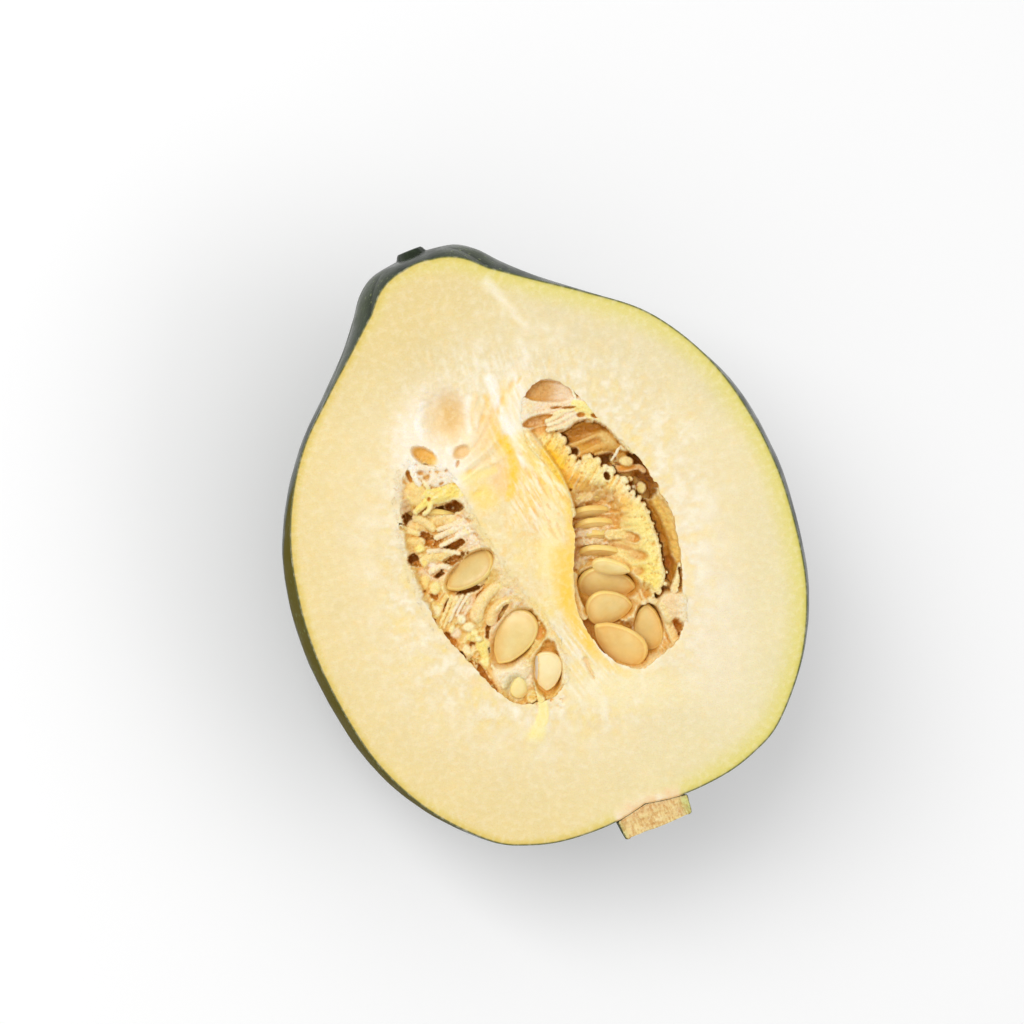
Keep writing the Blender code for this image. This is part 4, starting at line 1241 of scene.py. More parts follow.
    # Skins, edge-on seeds under their skins and fibres: line, half-width, crest and colour
    for points, wide, rise, colour, end in (
            ([(413, 526), (428, 522), (441, 519), (452, 519)], 8, -2.8, 0xF6D890, 5),
            ([(416, 517), (424, 521), (432, 528)], 5, -2.2, 0xFAE2A0, 4),
            ([(400, 527), (408, 530), (417, 533)], 3.4, -2.6, 0xFDECAA, 3),
            ([(399, 538), (408, 541), (420, 541)], 5.4, -2.4, 0xF7DA8C, 4.6),
            ([(436, 537), (450, 531), (464, 526), (478, 521)], 3.2, -1.6, 0xFCECC8, 2.2),
            ([(441, 545), (455, 538), (468, 532), (480, 530)], 2.6, -1.5, 0xFCEED0, 2),
            ([(438, 529), (452, 524), (466, 517)], 2.6, -1.9, 0xFCECC4, 2),
            ([(456, 535), (466, 529), (480, 524)], 1.8, -1.5, 0xFDF2D8, 1.4),
            ([(423, 560), (434, 556), (446, 554), (453, 552)], 5.2, -2.8, 0xFAE29C, 3),
            ([(428, 551), (442, 550), (458, 553)], 2.6, -2.6, 0xFBECC8, 2.2),
            ([(430, 571), (442, 566), (454, 571)], 3.4, -3, 0xFBECCC, 3),
            ([(447, 577), (440, 584), (434, 594)], 2.6, -3.4, 0xF8DE96, 2),
            ([(451, 597), (445, 612), (438, 628)], 2.3, -2.9, 0xFCECAA, 1.6),
            ([(456, 598), (450, 612), (443, 628)], 2.2, -2.7, 0xFAE6A4, 1.6),
            ([(446, 596), (440, 606), (435, 618)], 2.6, -3, 0xFBE696, 2.2),
            ([(462, 596), (455, 608), (449, 622)], 1.8, -2.7, 0xFBEECE, 1.4),
            ([(468, 595), (461, 606), (456, 616)], 1.8, -2.6, 0xFAEED4, 1.4),
            ([(476, 617), (479, 606), (487, 595), (498, 586), (511, 582)], 7.4, -1.9, 0xFAE4A8, 5),
            ([(490, 622), (493, 612), (501, 604), (511, 600), (519, 599)], 5.6, -2.3, 0xF8DC96, 3.6),
            ([(496, 610), (504, 603), (514, 601)], 1.5, -1.9, 0xFAECBE, 1.2),
            ([(520, 585), (529, 594), (535, 604)], 6, -0.9, 0xFBF1DE, 4),
            ([(470, 638), (480, 641), (486, 646)], 5, -2.8, 0xFDEC96, 4.6),
            ([(480, 646), (484, 656), (486, 668)], 5.6, -2.4, 0xFDEA86, 4),
            ([(487, 667), (492, 677), (499, 691)], 2.9, -2.8, 0xF4CA74, 2.4),
            ([(492, 668), (497, 678), (503, 690)], 2, -2.4, 0xFBECBA, 1.6),
            ([(466, 662), (471, 655), (473, 648)], 2.2, -3.6, 0xFAECB4, 1.8),
            ([(463, 668), (466, 664), (470, 661)], 1.4, -3.8, 0xCEC45A, 1)):
        patch.ridge(points, wide, rise, colour, end)

    apron = patch.oval(511, 675, 19, 15, 26, 0.25, 0.1, 16)
    creases = patch.grain(16, 3.4, 30, 103, 2)
    patch.lay(apron, -2.2, 0xF9E8BE)
    patch.z += apron * 0.4 * creases
    patch.veins(apron, creases, (0.0, 0.6, 0.5, 0xFDF3D8), (0.05, 0.6, 0.45, 0xF0CE84))

    # Lumps: middle, radii, turn, height and colour
    for x, y, rx, ry, turn, rise, colour in (
            (419, 548, 5.4, 3.8, 6, -2.6, 0xFEEC8C), (423, 563, 3.6, 3.4, 0, -3.2, 0xFBE282),
            (423, 583, 5.2, 8.6, -22, -3.2, 0xFADE8A), (434, 588, 5.2, 6.6, -10, -3, 0xFDECA0),
            (444.5, 588.5, 4, 4.4, 0, -3, 0xFDECA4), (436, 611, 3.6, 5.4, 16, -3, 0xFDF0BE),
            (461, 620, 4.6, 5, 0, -2.4, 0xFEF6D4), (468, 628, 6.4, 4.6, 16, -2.6, 0xFDF0BE),
            (474, 634, 4, 3.4, 0, -2.8, 0xFEF0AA), (455, 634, 5.4, 5.6, 20, -3.4, 0xF9E8C6),
            (451, 630, 2.6, 4.4, -20, -2.8, 0xFCEEB0), (466, 652, 4.2, 5.8, 10, -3, 0xFCF0C4),
            (484, 664, 5, 4, 0, -2.6, 0xFDEEA0), (532, 700, 5.6, 7, -20, -0.6, 0xF8CC6E),
            (478, 640, 3.6, 3, 0, -2, 0xFEF6C4)):
        lump = patch.oval(x, y, rx, ry, turn, 0.35, 0.16, int(y))
        patch.lay(lump, rise, colour)
        patch.z += 0.3 * lump

    # The bag, the yellow flap and the twisted strip at the top left
    bag = patch.oval(416, 493, 13.5, 13.0, -20, 0.35, 0.10, 6)
    patch.lay(bag, -1.5, 0xF7DA8E, 0.95)
    patch.z += 0.9 * bag + bag * 0.15 * patch.specks(4.0, 98)
    patch.dust(bag, 5, 99, 0.0, 0.6, 0.4, 0xF0C474)
    patch.ridge([(424, 481), (428, 488), (427, 496)], 2.6, 0.1, 0xFEF0A0, 2.2)
    flap = patch.line([(430, 497), (440, 494), (452, 491), (464, 485), (474, 478)], 9.5, 9.0)
    flap = flap * ramp(patch.specks(5, 25) * 3.0 + 507.0 - patch.py, 0.0, 3.0)
    sheet_on = ramp(flap + 0.25 * patch.specks(4, 100), 0.0, 0.35)
    patch.lay(sheet_on, -0.4, 0xFDE884, 0.95)
    patch.z -= sheet_on * 1.6 * ramp(patch.py, 494.0, 508.0)
    patch.z += sheet_on * (0.35 * patch.grain(30, 3.0, 12, 23) + 0.2 * patch.specks(3.0, 101))
    patch.dust(sheet_on, 4, 24, -0.1, 0.5, 0.5, 0xFDF6D0)
    patch.dust(sheet_on, 6, 102, 0.0, 0.5, 0.5, 0xFCDC60)
    patch.ridge([(429, 497), (424, 503), (418, 508), (415, 511)], 4.2, -0.6, 0xFEE878, 3.0)
    patch.ridge([(430, 501), (429, 508), (424, 513)], 3.0, -0.9, 0xFEF096, 2.4)
    # A small pit, dark with painted shade
    patch.lay(patch.oval(428.5, 498.5, 1.6, 2.0, 0, 0.5), -2.0, AMBER)

    # The face itself goes on over the web and along the column
    web = patch.oval(432, 462, 44, 26, -10, 0.25)
    web = np.maximum(web, ramp(472.0 - patch.py - 0.3 * np.abs(patch.px - 440), 0.0, 8.0))
    web = np.maximum(web, ramp(side + 2.5 * patch.specks(5, 90), 8.0, 3.0))
    left_edge = ramp(wall + 3.0 * patch.specks(6, 97), 8.5, 4.0) * ramp(patch.py, 690.0, 660.0)
    web = np.maximum(web, left_edge * (1.0 - ramp(patch.z, -4.5, -6.5)))
    web = web * (1.0 - sheet_on * ramp(patch.px, 480.0, 466.0)) * (1.0 - bag)
    patch.take(web, face_z, face_colour)
    # A slit whose orange is painted shade
    slit = patch.oval(409, 475.5, 2.6, 5.6, 22, 0.3)
    patch.lay(slit, -3.0, 0xE29E2C)
    patch.ridge([(409, 459), (411, 468), (415, 478), (419, 483)], 3.0, -0.05, 0xFDF7EA, 3.0)
    # Tan specks at the chamber's left edge: the wall's grey-tan texture with painted shade
    tan = patch.oval(400, 506, 10, 24, 6, 0.5, 0.2, 8)
    patch.dust(tan, 3.4, 91, -0.4, 0.5, 0.6, 0xE8CA9C)
    patch.lay(patch.oval(517, 691, 11.0, 12.5, 0, 0.3, 0.1, 9), -3.6, 0xF0E4B0)
    patch.dab(0.5, 0xDADAC0, 513, 684, 12, 8, 30, 0.6)
    patch.ridge([(536, 686), (539, 694), (542, 704)], 2.4, -0.4, 0xFDEC94, 4.0)
    sockets(patch, LEFT_SEEDS, (1, 2, 8))


FRINGE = (
    (545, 433, 4), (552, 434, 5.2), (558, 436, 4), (563, 441, 5.4), (567, 450, 5.6), (573, 459, 5),
    (580, 463, 4), (586, 459, 4.4), (591, 457, 3.6), (597, 462, 5.6), (606, 468, 4), (612, 471, 5.6),
    (618, 479, 4.2), (625, 481, 5), (629, 489, 3.8), (634, 495, 4.4), (641, 499, 3.6), (646, 505, 3.4),
    (651, 514, 2), (656, 525, 1.8), (660, 536, 1.6), (663, 548, 1.8), (666, 562, 1.8), (669, 575, 2.2),
    (668, 586, 3.2), (661, 594, 4.6), (654, 599, 4.4),
)


def paint_right(patch):
    """Shape and colour of the right chamber's pulp."""
    patch.z[:] = 0.0
    patch.colour[:] = tone(NEAR_CAVITY)
    paint_core(patch)
    face_z, face_colour = patch.z - 0.02 + 0.14 * patch.specks(3.4, 94), patch.colour.copy()

    # The curtain of fibre with its fringe
    far, side, _ = patch.along([(x, y) for x, y, _ in FRINGE], 60)
    signed = far * side
    for x, y, r in FRINGE:
        signed = np.maximum(signed, r - np.hypot(patch.px - x, patch.py - y))
    signed = signed + 0.5 * patch.specks(3.4, 4) + 1.5 * patch.specks(7.0, 5)
    on = ramp(signed, -0.6, 0.8)
    top = -2.2 - 5.2 * ramp(signed, 12.0, 44.0)
    patch.z = np.where(on > 0.0, top * on - 11.0 * (1.0 - on), -11.0)
    patch.z -= on * 0.8 * ramp(signed, 3.2, 0.0)
    patch.colour[:] = tone(0xE09E4C)
    patch.tint(on, 0xFDE99E)
    # Paler towards the fringe: the fibres' whitish ends and a painted highlight along the edge
    patch.tint(on * ramp(signed, 8.0, 1.0) * 0.85, 0xFEF5C8)
    glow = ramp(patch.specks(12, 9), -0.35, 0.4) * on * ramp(signed, 30.0, 10.0)
    patch.tint(glow * 0.7, 0xFDD860)
    patch.tint(patch.oval(559, 464, 11, 11, -30, 0.7, 0.2, 3) * on, 0xFFCE2C)
    patch.tint(patch.oval(576, 481, 22, 8, -24, 0.7, 0.2, 4) * on * 0.8, 0xFDBE40)
    patch.tint(patch.oval(614, 508, 16, 17, -40, 0.7, 0.2, 5) * on * 0.8, 0xFABE54)
    patch.tint(patch.oval(648, 548, 13, 36, 16, 0.6, 0.1, 6) * on * 0.7, 0xFEEE98)
    patch.tint(patch.oval(650, 582, 14, 18, 10, 0.6, 0.1, 7) * on * 0.7, 0xFEE66C)
    rays = patch.grain(60, 2.6, 22, 12, 3)
    rays_low = patch.grain(6, 2.8, 24, 13, 3)
    turned = ramp(patch.py, 492.0, 520.0)
    ray = rays * (1.0 - turned) + rays_low * turned
    upper = 1.0 - turned
    patch.z += on * ((0.2 + 0.3 * upper) * ray + 0.25 * patch.specks(4.2, 11))
    patch.tint(on * ramp(ray, 0.05, 0.6) * (0.3 + 0.3 * upper), 0xFEF4BE)
    patch.tint(on * ramp(-ray, 0.10, 0.65) * (0.25 + 0.4 * upper), 0xFAC254)
    # A small hole, dark with painted shade
    patch.lay(patch.oval(608, 476.5, 2.8, 4.2, 24, 0.2), -8.0, DARK)

    # Bed of the stacked seeds between the column and the curtain
    bed = patch.oval(593, 537, 26, 47, -10, 0.25, 0.10, 2)
    bands = patch.grain(8, 3.4, 20, 23, 3)
    patch.lay(bed, -8.6, 0xEECC88)
    patch.z += bed * (0.9 * bands + 0.6 * patch.specks(3.2, 24))
    patch.tint(bed * ramp(bands + 0.5 * patch.specks(3.2, 24), 0.0, 0.6) * 0.8, 0xFBECD0)
    patch.tint(bed * ramp(-bands - 0.5 * patch.specks(3.2, 24), 0.05, 0.6) * 0.7, 0xDEA050)
    root_shade = patch.oval(576, 530, 5, 50, -3, 0.5) * ramp(patch.specks(5, 26), -0.4, 0.4)
    patch.tint(root_shade * 0.6, 0xCE802C)
    # A slit, dark with painted shade
    patch.lay(patch.oval(568, 490.5, 4.6, 1.5, 8, 0.3), -7.0, DARK)
    for x, y, rx, ry, turn, rise, colour in (
            (584, 498, 15, 6, 14, -6.6, 0xF1D292), (590, 534, 16, 4.6, 10, -7, 0xF9E6C4),
            (590, 543, 14, 4, 4, -7.2, 0xF8E4BE), (581, 566, 7, 7, 30, -7.6, 0xF6DEAC)):
        lump = patch.oval(x, y, rx, ry, turn, 0.4, 0.25, int(y))
        patch.lay(lump, rise, colour, 0.7)
        patch.z += lump * 0.6 * patch.specks(3.0, 27)
    patch.ridge([(577, 579), (585, 571), (597, 566)], 5.0, -7.6, 0xEEC468, 4.0)
    print_at = patch.line([(611, 536), (624, 536), (637, 540)], 6.6, 5.4)
    patch.lay(ramp(print_at + 0.2 * patch.specks(3.2, 109), 0.0, 0.6), -5.9, 0xFBE296)
    patch.z += ramp(print_at, 0.0, 0.6) * 0.4 * patch.specks(3.0, 110)
    patch.dab(0.7, 0xECC078, 633, 542, 9, 6, 10, 0.7, 0.2, 3)
    # A thin line of painted shadow below the print
    patch.dab(0.6, 0xD48E3C, 626, 549, 12, 2.4, -16, 0.5)
    for x, y, rx, ry, turn in ((640, 557, 9, 5, -10), (639, 574, 7, 4, 10)):
        mark = patch.oval(x, y, rx, ry, turn, 0.4)
        patch.lay(mark, -5.2, 0xECBE72, 0.85)

    # The gap behind the curtain, with painted shade beside the curtain and in its pits and slit
    behind = ramp(-signed, 0.5, 3.0) * ramp(patch.px, 632.0, 642.0) * ramp(patch.py, 478.0, 498.0)
    outer, _, _ = patch.along([(640, 462), (657, 486), (670, 508), (680, 534), (687, 566), (690, 600)])
    patch.z = np.where(behind > 0.5, -8.8 + 5.4 * ramp(outer, 15.0, 2.0), patch.z)
    rough = patch.grain(-66, 4.0, 14, 31, 3)
    patch.z += behind * (0.9 * rough + 0.4 * patch.specks(3.4, 32))
    patch.tint(behind, 0xE2B042)
    patch.veins(behind, rough, (-0.1, 0.6, 0.7, 0xF0D062), (0.1, 0.6, 0.7, 0xC88622))
    # Painted shade beside the curtain
    patch.tint(behind * ramp(signed, -9.0, -1.0) * 0.5, 0xC47E1E)
    patch.tint(behind * ramp(outer, 8.0, 2.0) * 0.7, 0xF8DC96)
    rib = patch.line([(652, 498), (663, 509), (671, 526), (677, 546), (679, 562)], 8.0, 6.0)
    rib = ramp(rib, 0.0, 0.9) * ramp(-signed, 3.0, 7.0)
    patch.reach(rib * 0.6, -5.4)
    patch.z += rib * 0.35 * patch.specks(3.6, 38)
    patch.tint(rib * (0.6 + 0.4 * patch.specks(5, 39)), 0xF8D878)
    # Pits, dark with painted shade
    patch.lay(patch.oval(672, 566, 5.4, 7, 0, 0.4) * behind, -10.0, BROWN)
    patch.lay(patch.oval(670, 583, 5.0, 8, 20, 0.4) * behind, -7.6, 0xE2A640)
    patch.ridge([(682, 566), (681, 578), (677, 592)], 1.6, -1.8, 0xFAE6A0, 4.0)
    # A slit, orange with painted shade
    patch.lay(patch.line([(682, 571), (684, 583), (683.5, 596)], 1.6, 1.4, 10), -6.0, 0xDE9432)

    # The hollow above the curtain, its skins and the dark holes beyond it: painted shade in the hollow
    # and holes
    brow_far, brow, _ = patch.along([(540, 440), (552, 434), (560, 432), (568, 429), (575, 423),
                                     (584, 420), (596, 421), (606, 427), (616, 436), (628, 446),
                                     (640, 456)])
    under_brow = brow_far * brow + 0.8 * patch.specks(4.0, 6)
    hollow = patch.oval(592, 442, 42, 27, -24, 0.14, 0.05, 5) * ramp(-signed, 0.0, 2.0)
    hollow = hollow * ramp(under_brow, -0.8, 1.6)
    pleats = patch.grain(16, 4.2, 34, 33, 3)
    # The hollow's dark gold is painted shade
    patch.lay(hollow, -6.8, 0xD69A26)
    patch.z += hollow * (1.1 * pleats + 0.3 * patch.specks(3.0, 34))
    patch.veins(hollow, pleats, (0.0, 0.5, 0.75, 0xE4B854), (0.0, 0.5, 0.75, 0xBA7614))
    # Painted shadow under the brow
    patch.tint(hollow * patch.oval(582, 431, 24, 9, 22, 0.5) * 0.6, 0xCE8822)
    patch.tint(hollow * patch.oval(604, 441, 18, 6, -14, 0.6) * 0.6, 0xE6C286)
    for points, wide, rise, colour, end in (
            ([(568, 446), (583, 441), (597, 435), (604, 434)], 2.6, -5.6, 0xEABE60, 2),
            ([(573, 458), (588, 452), (602, 446), (620, 447)], 4.2, -5.4, 0xE8BA5A, 4)):
        shown = ramp(-signed, 0.0, 1.0) * ramp(under_brow, 0.0, 1.5)
        near = patch.line(points, wide, end, 16) * shown
        crest = rise - wide * PIXEL * (1.0 - np.sqrt(near))
        patch.z = np.where(near > 0.0, np.maximum(patch.z, crest), patch.z)
        patch.tint(ramp(near, 0.0, 0.9) * 0.75, colour)
    film = patch.oval(610, 438, 12, 6.6, -26, 0.4, 0.1, 3)
    patch.lay(film * ramp(-signed, 0.0, 1.0), -4.8, 0xEACA7C)
    # Holes, dark with painted shade
    for x, y, rx, ry, turn, deep, colour in (
            (576, 451.5, 3.2, 3.8, 0, -11, DARK), (582.5, 460, 4.6, 2.8, 10, -11, DARK),
            (606, 460, 11, 6, 14, -13, BLACK), (636, 461, 9, 7.5, -34, -12.5, DARK),
            (647, 485, 9.6, 14.5, 26, -13, BLACK), (618, 466, 9, 3, -20, -11, BROWN),
            (622, 474, 8, 3.6, -14, -10, DARK)):
        hole = patch.oval(x, y, rx, ry, turn, 0.16, 0.12, int(x)) * ramp(-signed, 0.0, 1.5)
        patch.lay(hole, deep, colour, 0.97)
    ledge = patch.line([(612, 468), (626, 469.5), (640, 467), (646, 471)], 4.6, 3.6)
    patch.lay(ramp(ledge * ramp(-signed, 0.5, 1.5), 0.0, 0.5), -6.8, 0xF0AA3E)
    # The grey-white lump at 634, 491 is a painted glint
    for x, y, rx, ry, turn, rise, colour in (
            (626, 447.5, 5.6, 4, -10, -4, 0xFEF0BE), (632, 479.5, 3.6, 2.8, -10, -6, 0xFAD25A),
            (634, 491, 3.6, 6.4, -30, -5.4, 0xE2CCB2), (628, 461.5, 8.2, 5.6, -6, -5.8, 0xFADA82),
            (643.5, 488.5, 6, 7, 10, -7.6, 0xF0D678)):
        lump = patch.oval(x, y, rx, ry, turn, 0.25, 0.06, int(y)) * ramp(-signed, -0.5, 1.0)
        patch.lay(lump, rise, colour)
        patch.z += 0.8 * lump
    # Painted highlights on two seed ends
    patch.dab(0.8, 0xF8EA9E, 643.5, 489, 3.6, 4.4, 10, 0.6)
    patch.dab(0.8, 0xFEF0B4, 626.5, 461, 5.0, 3.2, -6, 0.6)
    # A dot of painted shade
    patch.tint(patch.oval(639, 486, 1.2, 2.0, 0, 0.5), BROWN)

    # The blossom end: pale tissue with pockets, fibre masses and small holes
    end = ramp(-signed, 0.0, 1.5) * ramp(-under_brow, -1.0, 1.0)
    patch.z += end * (-0.5 - patch.z)
    patch.tint(end, 0xF8E2C0)
    crumb = patch.grain(14, 3.0, 14, 41, 3)
    patch.z += end * (0.22 * crumb + 0.15 * patch.specks(3.0, 48))
    patch.veins(end, crumb, (0.0, 0.6, 0.5, 0xFCF0D8), (0.1, 0.6, 0.45, 0xF2CA88))
    first = patch.oval(547, 391.5, 25.5, 11.5, -3, 0.10, 0.03, 2)
    first = first * ramp(patch.py - 0.06 * (patch.px - 547), 403.5, 399.0)
    patch.reach(first, -2.6 + 1.3 * ramp(patch.px, 545.0, 570.0))
    patch.tint(first, 0xF0D8B6)
    # The deeper left part of the first pocket is darker: painted shade, with specks on it
    speckled_shade = patch.oval(538, 391, 17, 14, 20, 0.5) * first
    patch.tint(speckled_shade * 0.95, 0xDCAA5C)
    patch.dust(speckled_shade, 2.2, 43, 0.0, 0.5, 0.4, 0xC48838)
    patch.lay(patch.oval(577, 391, 3.6, 6.0, 10, 0.5, 0.2, 3), -1.6, 0xECC48C, 0.7)
    second = patch.oval(537, 421, 14.5, 5.4, 17, 0.2, 0.1, 6)
    patch.lay(second, -2.6, 0xE8B874)
    patch.dust(second, 2.2, 44, -0.1, 0.4, 0.7, 0xC47E2C)
    patch.lay(patch.oval(548, 417, 6, 2.6, 8, 0.4, 0.2, 4), -2.2, 0xE6B268)
    third = patch.oval(539, 437, 13.5, 10.5, 40, 0.2) * (1.0 - patch.oval(546, 443, 12, 9.5, 34, 0.25))
    patch.lay(third, -2.8, 0xEEB862)
    patch.tint(patch.oval(533, 444, 4, 9, 20, 0.6) * third, 0xF4BE78)
    for points, wide, rise, colour, finish in (
            ([(571, 380), (572, 388), (575, 397), (577, 403)], 1.3, -0.1, 0xFDF5DA, 1.5),
            ([(547, 421), (556, 417), (566, 411), (574, 409)], 2.4, 0, 0xFCECB4, 2.2),
            ([(548, 425), (560, 421), (573, 414)], 2, -0.1, 0xFCF0C8, 1.8),
            ([(548, 430), (560, 427), (572, 421), (578, 418)], 2.4, -0.3, 0xFAE8B8, 1.8),
            ([(555, 414), (566, 409), (576, 405)], 2, 0, 0xFBECB0, 1.6),
            ([(575, 404), (585, 406), (594, 411)], 4.6, 0, 0xFEF096, 4),
            ([(583, 410), (593, 413), (600, 420)], 3.6, -0.3, 0xFDEE9C, 3),
            ([(577, 410), (586, 414), (592, 420)], 3, -0.8, 0xFCE68C, 2.4),
            ([(598, 413), (611, 426), (621, 439), (634, 452)], 3.4, -0.7, 0xFBE4A6, 2.4)):
        patch.ridge(points, wide, rise, colour, finish)
    # Small slits, darker with painted shade
    for x, y, rx, ry, turn in (
            (581, 415, 4, 2.2, 0), (595, 416, 3.6, 2, -14), (556, 407.5, 5, 1.1, 8),
            (569, 407.5, 6, 1.2, 4), (560, 431, 5, 1.4, 16), (589, 421, 3.6, 1.6, -10)):
        patch.lay(patch.oval(x, y, rx, ry, turn, 0.4, 0.2, int(x)), -2.2, 0xDE9E42)

    # The low end, where the big seeds lie
    low_end = patch.oval(616, 634, 60, 44, -8, 0.14) * ramp(-signed, -8.0, 2.0)
    seed_bed = ramp(patch.oval(606, 622, 34, 46, 0, 0.1), 0.0, 0.5) * ramp(patch.py, 575.0, 585.0)
    low_end = np.maximum(low_end, seed_bed)
    patch.lay(low_end, -10.8, 0xEEB450, 0.95)
    rim, _, _ = patch.along([(692, 600), (692, 625), (686, 645), (668, 660), (648, 672), (628, 674)])
    slope = ramp(rim, 20.0, 2.0)
    patch.z = np.where(slope > 0.0, np.maximum(patch.z, -10.8 + 8.6 * slope), patch.z)
    patch.tint(slope * 0.9, 0xF4D496)
    facet = patch.line([(574, 578), (574, 592), (578, 606), (585, 618)], 5.4, 6.0)
    patch.lay(ramp(facet, 0.0, 0.5), -3.2, 0xF8BA32, 0.95)
    tissue = patch.oval(638, 606, 14, 22, -24, 0.3, 0.2, 6)
    beside = patch.oval(662, 632, 15, 23, 14, 0.3, 0.15, 8)
    tissue = np.maximum(tissue, beside * (1.0 - patch.oval(650, 635, 12, 18, 4, 0.15)))
    threads = patch.grain(-62, 2.6, 16, 57, 3) + 0.4 * patch.specks(3, 62)
    patch.lay(tissue, -6.0, 0xF3D088)
    patch.z += tissue * 0.7 * threads
    patch.veins(tissue, threads, (0.0, 0.5, 0.6, 0xFCEEC4), (0.1, 0.6, 0.6, 0xDE9C46))
    # A slit, dark with painted shade
    patch.lay(patch.oval(637, 631, 2.0, 6.5, -14, 0.3), -9.0, DARK)
    bulge = patch.oval(676, 611, 16.5, 19, 30, 0.22, 0.06, 7)
    patch.lay(bulge, -2.0, 0xF6DCAC, 0.95)
    patch.z += bulge * (0.5 * patch.specks(7, 59) + 0.9 * patch.oval(675, 606, 12, 13, 0, 0.8))
    patch.dust(bulge, 4, 58, 0.0, 0.6, 0.25, 0xE2B274)
    # A pit, darker orange with painted shade
    patch.lay(patch.oval(681, 634, 6.4, 10.5, 14, 0.3, 0.1, 3), -7.0, 0xD8862E)
    patch.z += 0.10 * patch.specks(1.9, 61)
    sockets(patch, RIGHT_SEEDS, (11, 12, 13))
    for points, wide, rise, colour, finish in (
            ([(653, 603), (662, 607), (668, 618), (674, 633), (681, 649)], 3.6, -3.8, 0xF9E2A0, 5.4),
            ([(646, 606), (652, 603), (660, 604)], 3, -5.2, 0xF6E2AC, 2.4)):
        patch.ridge(points, wide, rise, colour, finish)

    # The face goes on along the column and over the curtain's root
    join = patch.line([(524, 440), (540, 458), (554, 476), (564, 494), (572, 514)], 14, 6)
    knotty = patch.grain(-50, 2.8, 11, 53, 3)
    root = on * ramp(patch.py, 512.0, 486.0) * ramp(patch.py, 428.0, 438.0)
    edge, _, _ = patch.along([(521, 380), (519, 420), (521, 459), (537, 484), (556, 512), (572, 550),
                              (570, 575), (573, 600), (590, 640), (620, 668)])
    reach = 4.0 + 13.0 * ramp(patch.py, 486.0, 444.0)
    root = root * ramp(edge + 3.0 * patch.specks(6, 111), 34.0, 8.0)
    patch.z += root * (np.maximum(-0.7 - 0.085 * np.maximum(edge, 0.0), patch.z) - patch.z)
    patch.z += root * 0.3 * knotty
    patch.tint(root * 0.5, 0xFDE280)
    patch.veins(root, knotty, (0.0, 0.5, 0.6, 0xFEF6CE), (0.05, 0.6, 0.6, 0xF9C04C))
    soft = 2.0 + 4.0 * ramp(patch.py, 510.0, 480.0)
    skin = ramp(edge + 2.2 * patch.specks(5, 92) + 2.0 * knotty, reach + soft, reach - soft)
    skin = skin * ramp(patch.py, 620.0, 560.0)
    upon = ramp(-signed, -6.0 - 6.0 * ramp(patch.py, 450.0, 470.0), 0.0)
    upon = np.maximum(upon, ramp(patch.py, 440.0, 452.0) * ramp(patch.py, 512.0, 496.0))
    skin = skin * (1.0 - ramp(third, 0.0, 0.4)) * upon
    skin = np.maximum(skin, ramp(join, 0.1, 0.6) * ramp(patch.specks(4, 93), -1.5, -0.6))
    skin = skin * (1.0 - ramp(first, 0.0, 0.4)) * (1.0 - ramp(second, 0.0, 0.4))
    patch.z += skin * (face_z - 0.2 - patch.z)
    patch.colour += skin[:, None] * (face_colour - patch.colour)
    over = patch.oval(693, 612, 13, 27, 8, 0.4, 0.25, 17)
    patch.take(over, face_z, face_colour)
    patch.tint(patch.oval(577, 600, 9, 25, 8, 0.3, 0.1, 18) * (1.0 - skin) * 0.85, 0xF6BA38)
    deepest = patch.line([(549, 450), (555, 463), (561, 477), (570, 488)], 10.0, 5.0)
    patch.tint(deepest * (0.8 + 0.5 * knotty), 0xFFCC10)


def settled(height, tris, rounds):
    """Heights evened out over the mesh."""
    a = np.concatenate([tris[:, 0], tris[:, 1], tris[:, 2]])
    b = np.concatenate([tris[:, 1], tris[:, 2], tris[:, 0]])
    size = len(height)
    count = np.maximum(np.bincount(a, minlength=size) + np.bincount(b, minlength=size), 1)
    for _ in range(rounds):
        total = np.bincount(a, height[b], size) + np.bincount(b, height[a], size)
        height = 0.5 * height + 0.5 * total / count
    return height


# The pulp: gap to the wall at the cut, the height at which its outline is taken, the levels of its
# outline and of its first lower ring, and its clearance from the wall
PULP_GAP = 1.1
PULP_HEIGHT = -6.0
PULP_RIM_LEVEL = 5
PULP_LOW_LEVEL = 7
PULP_SHRINK = 0.99
PULP_LIFT = 0.4
PULP_GRAIN = 1.15
# Painted shade in hollows, painted highlight on crests, from fine to broad: rounds of evening out,
# depths from none to full and weight
PAINTED_SHADE_ROUNDS = ((3, 0.03, 0.28, 0.55), (14, 0.05, 0.6, 0.6), (90, 0.4, 2.8, 0.5))


